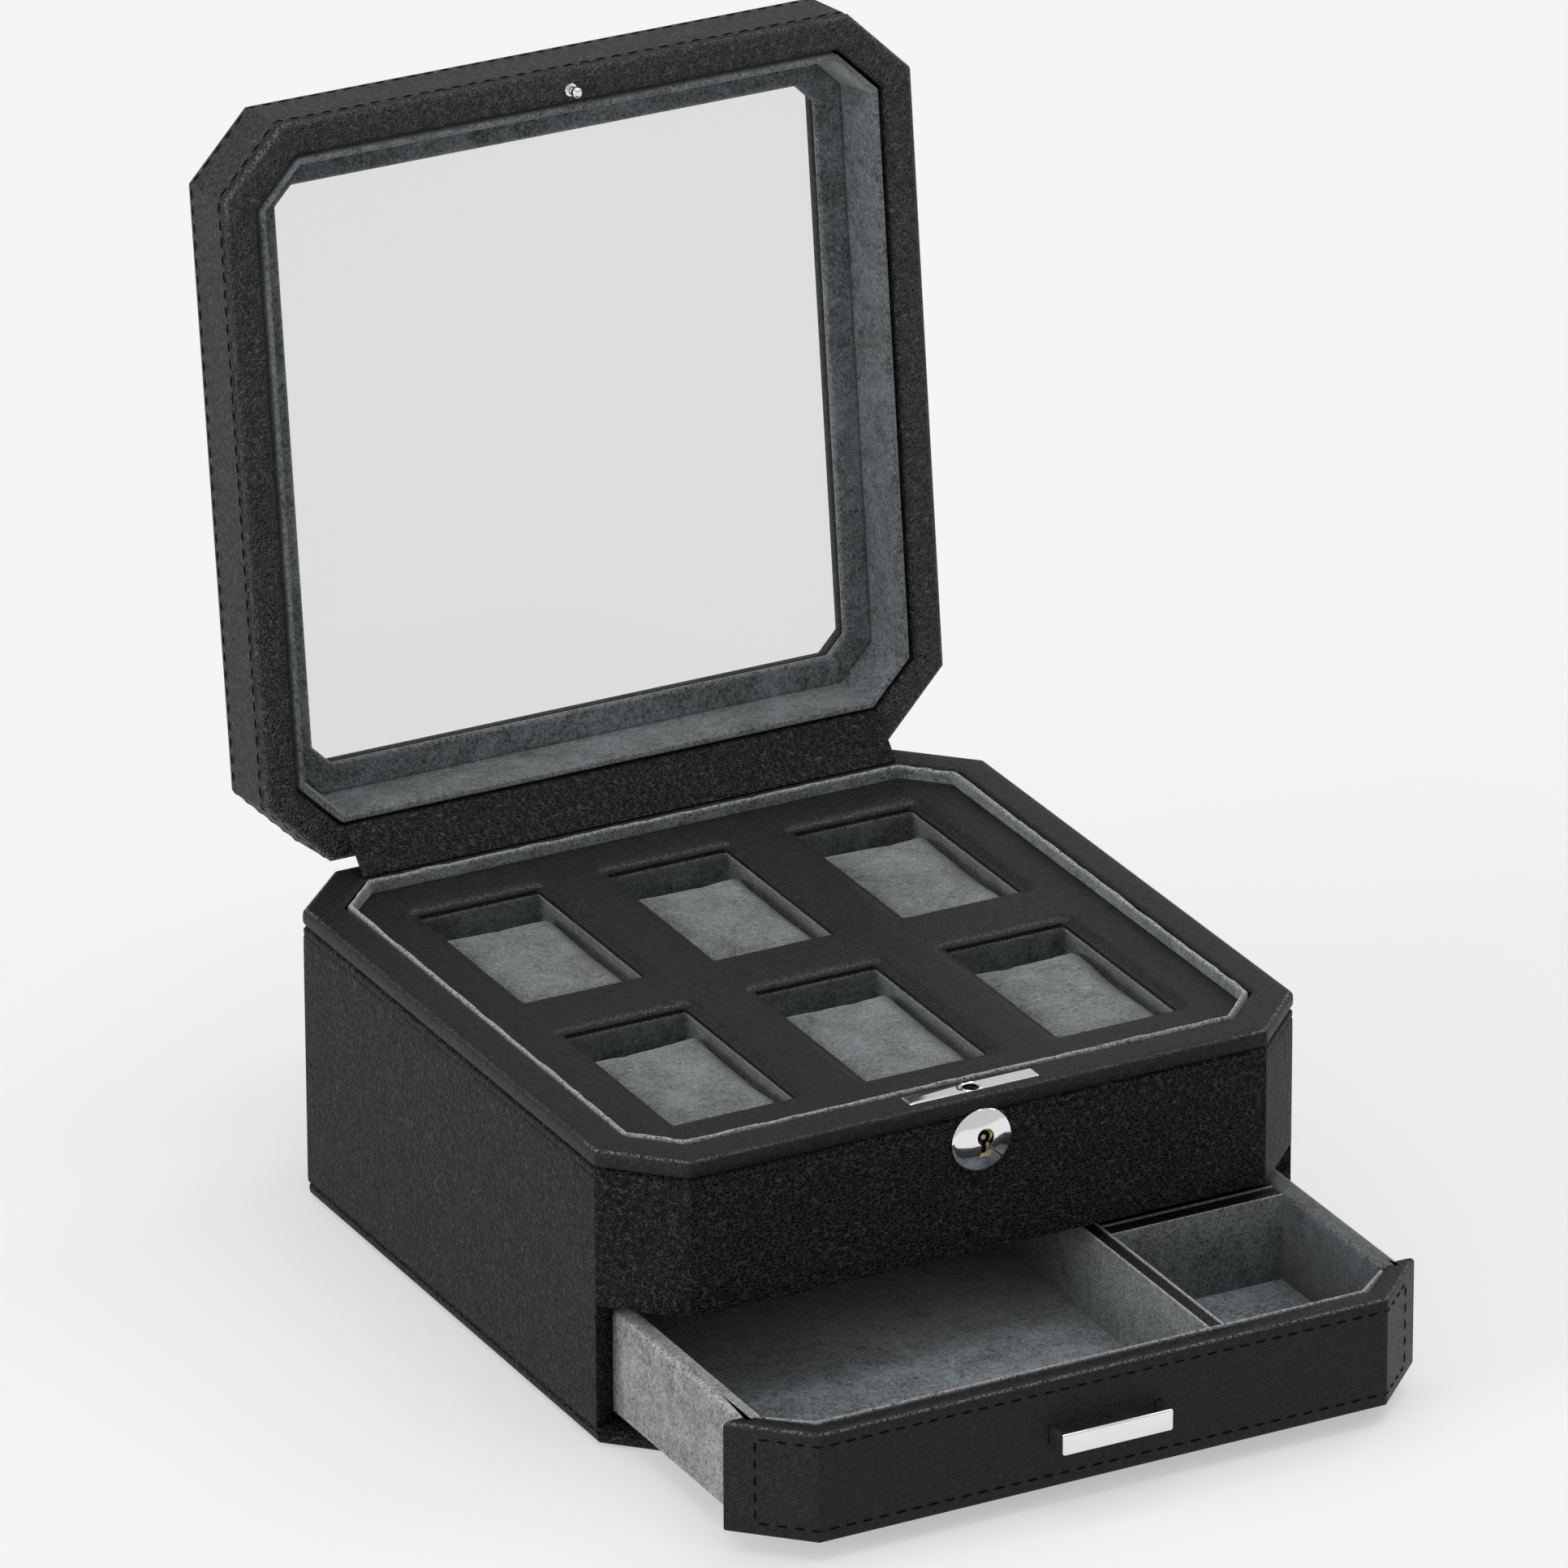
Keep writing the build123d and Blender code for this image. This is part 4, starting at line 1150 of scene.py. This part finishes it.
def board(name, node_name, finish, side=None):
    """A suede-covered board of the drawer, with soft rounded top edges. A side board's inner end is
    cut back where it meets the corner of the front."""
    low, high = span(node_name)
    wall = [(low.x, low.y), (high.x, low.y), (high.x, high.y), (low.x, high.y)]
    if side:
        corner = 1 if side == "left" else 0
        wall[corner] = (wall[corner][0], low.y + (high.x - low.x) * 0.35)
    plan = split(rounded(wall, 0.8, 3), 5.0)
    middle_x = (low.x + high.x) / 2
    middle_y = (low.y + high.y) / 2

    def drawn_in(inset):
        return [
            Vector((
                p.x - inset * (1 if p.x > middle_x else -1),
                p.y if side else p.y - inset * (1 if p.y > middle_y else -1),
            ))
            for p in plan
        ]

    bottom = low.z - high.z
    profile = [
        (0.4, bottom), (0, bottom + 0.4), (0, -14), (0, -2.6), (0.25, -1.4, 0.1), (0.9, -0.45, 0.5),
        (1.9, -0.05, 0.2), (2.8, 0),
    ]
    rows, wear_and_sheen = lay(profile, drawn_in, high.z)
    piece = sweep(name, rows, finish, wear_and_sheen=wear_and_sheen, ring=False, caps=True)
    settle(piece, "drawer", "suede_grey", node_name)


def divider(name, low, high):
    """A leather-topped board between two suede faces."""
    face = 0.7
    across = 0 if high.x - low.x < high.y - low.y else 1
    thick = high[across] - low[across]
    parts = {"left": (0, face), "core": (face, thick - face), "right": (thick - face, thick)}
    for part, (start, end) in parts.items():
        a = low.copy()
        b = high.copy()
        a[across] = low[across] + start
        b[across] = low[across] + end
        plan = [Vector(p) for p in ((a.x, a.y), (b.x, a.y), (b.x, b.y), (a.x, b.y))]
        core = part == "core"
        top = high.z + (-0.1 if core else 0.25)
        rows, wear_and_sheen = lay([(0, a.z), (0, top - 0.4, 0.3), (0, top, 1)], lambda _: plan)
        finish = SMOOTH_LEATHER if core else SUEDE
        piece = sweep(
            f"{name}_{part}", rows, finish, wear_and_sheen=None if core else wear_and_sheen, ring=False, caps=True
        )
        if core:
            bevel(piece, 0.8)
            settle(piece, "drawer", "leather_smooth", name)
        else:
            settle(piece, "drawer", "suede_grey")


def pull():
    """A polished bar bent into a flat D, standing on two legs."""
    low, high = span("drawer_pull")
    half = high.x
    leg = half - 3.4
    bar = low.y + 3.0
    outer = [(half, high.y), (half, low.y), (-half, low.y), (-half, high.y)]
    inner = [(-leg, high.y), (-leg, bar), (leg, bar), (leg, high.y)]
    points = rounded(outer, 1.8, 6, closed=False) + rounded(inner, 0.8, 3, closed=False)
    handle = prism("pull_handle", points[::-1], low.z, high.z, CHROME, 0.75)
    settle(handle, "drawer", "chrome", "drawer_pull")


make_case()
make_tray()
for number in range(1, 7):
    cushion(number)
make_lid()
make_flap()
make_lock()
make_drawer()


# ---- stage ----

FLOOR_GLOW = 0.45                          # light from the floor itself, which keeps shadows pale
SKY = 0.64
LIT = Vector((0, 0, 0.08))                 # what the lamps point at
LAMPS = {                                  # place and size in metres, and power in watts
    "right": ((4.6, 0.6, 4.6), (3.6, 3.6), 75),
    "left": ((-5.0, -0.5, 1.3), (3.0, 2.0), 160),
    "top": ((0.4, 0.0, 6.4), (5.0, 5.0), 165),
}


CAMERA_PLACE = (-1.8594, -3.5263, 1.9326)
CAMERA_TURN = (-27.75896, 24.08470, -0.22294)    # azimuth, elevation and roll, in degrees
CAMERA_LENS = 335.96


def make_stage():
    item, tree, shader, where = material("floor")
    feed(tree, shader, {
        "Base Color": blend_colors(tree, noise_at(tree, where, 900, 2.0), grey(0.38), grey(0.385)),
        "Roughness": 1.0,
        "Specular IOR Level": 0.0,
        "Emission Color": grey(1.0),
        "Emission Strength": FLOOR_GLOW,
    })
    half = 6.0
    corners = [(-half, -half, 0), (half, -half, 0), (half, half, 0), (-half, half, 0)]
    mesh = bpy.data.meshes.new("floor")
    mesh.from_pydata(corners, [], [(0, 1, 2, 3)])
    mesh.materials.append(item)
    ground = bpy.data.objects.new("floor", mesh)
    bpy.context.scene.collection.objects.link(ground)

    world = bpy.data.worlds.new("studio")
    bpy.context.scene.world = world
    world.use_nodes = True
    sky = {"Color": (1, 1, 1, 1), "Strength": SKY}
    feed(world.node_tree, world.node_tree.nodes["Background"], sky)

    for name, (place, size, power) in LAMPS.items():
        light = bpy.data.lights.new(name, "AREA")
        light.shape = "RECTANGLE"
        light.size, light.size_y = size
        light.energy = power
        lamp = bpy.data.objects.new(name, light)
        lamp.location = place
        lamp.rotation_euler = (LIT - Vector(place)).to_track_quat("-Z", "Y").to_euler()
        bpy.context.scene.collection.objects.link(lamp)


def make_camera():
    azimuth, elevation, roll = (radians(angle) for angle in CAMERA_TURN)
    back = Vector((sin(azimuth) * cos(elevation), -cos(azimuth) * cos(elevation), sin(elevation)))
    level_right = Vector((cos(azimuth), sin(azimuth), 0))
    level_up = back.cross(level_right)
    right = level_right * cos(roll) + level_up * sin(roll)
    up = level_up * cos(roll) - level_right * sin(roll)
    data = bpy.data.cameras.new("camera")
    data.lens = CAMERA_LENS
    data.sensor_width = 36
    data.clip_start = 0.05
    data.clip_end = 50
    camera = bpy.data.objects.new("camera", data)
    rotation = Matrix((right, up, back)).transposed().to_4x4()
    camera.matrix_world = Matrix.Translation(CAMERA_PLACE) @ rotation
    bpy.context.scene.collection.objects.link(camera)
    bpy.context.scene.camera = camera


make_stage()
make_camera()
bpy.context.scene.view_settings.view_transform = "Standard"
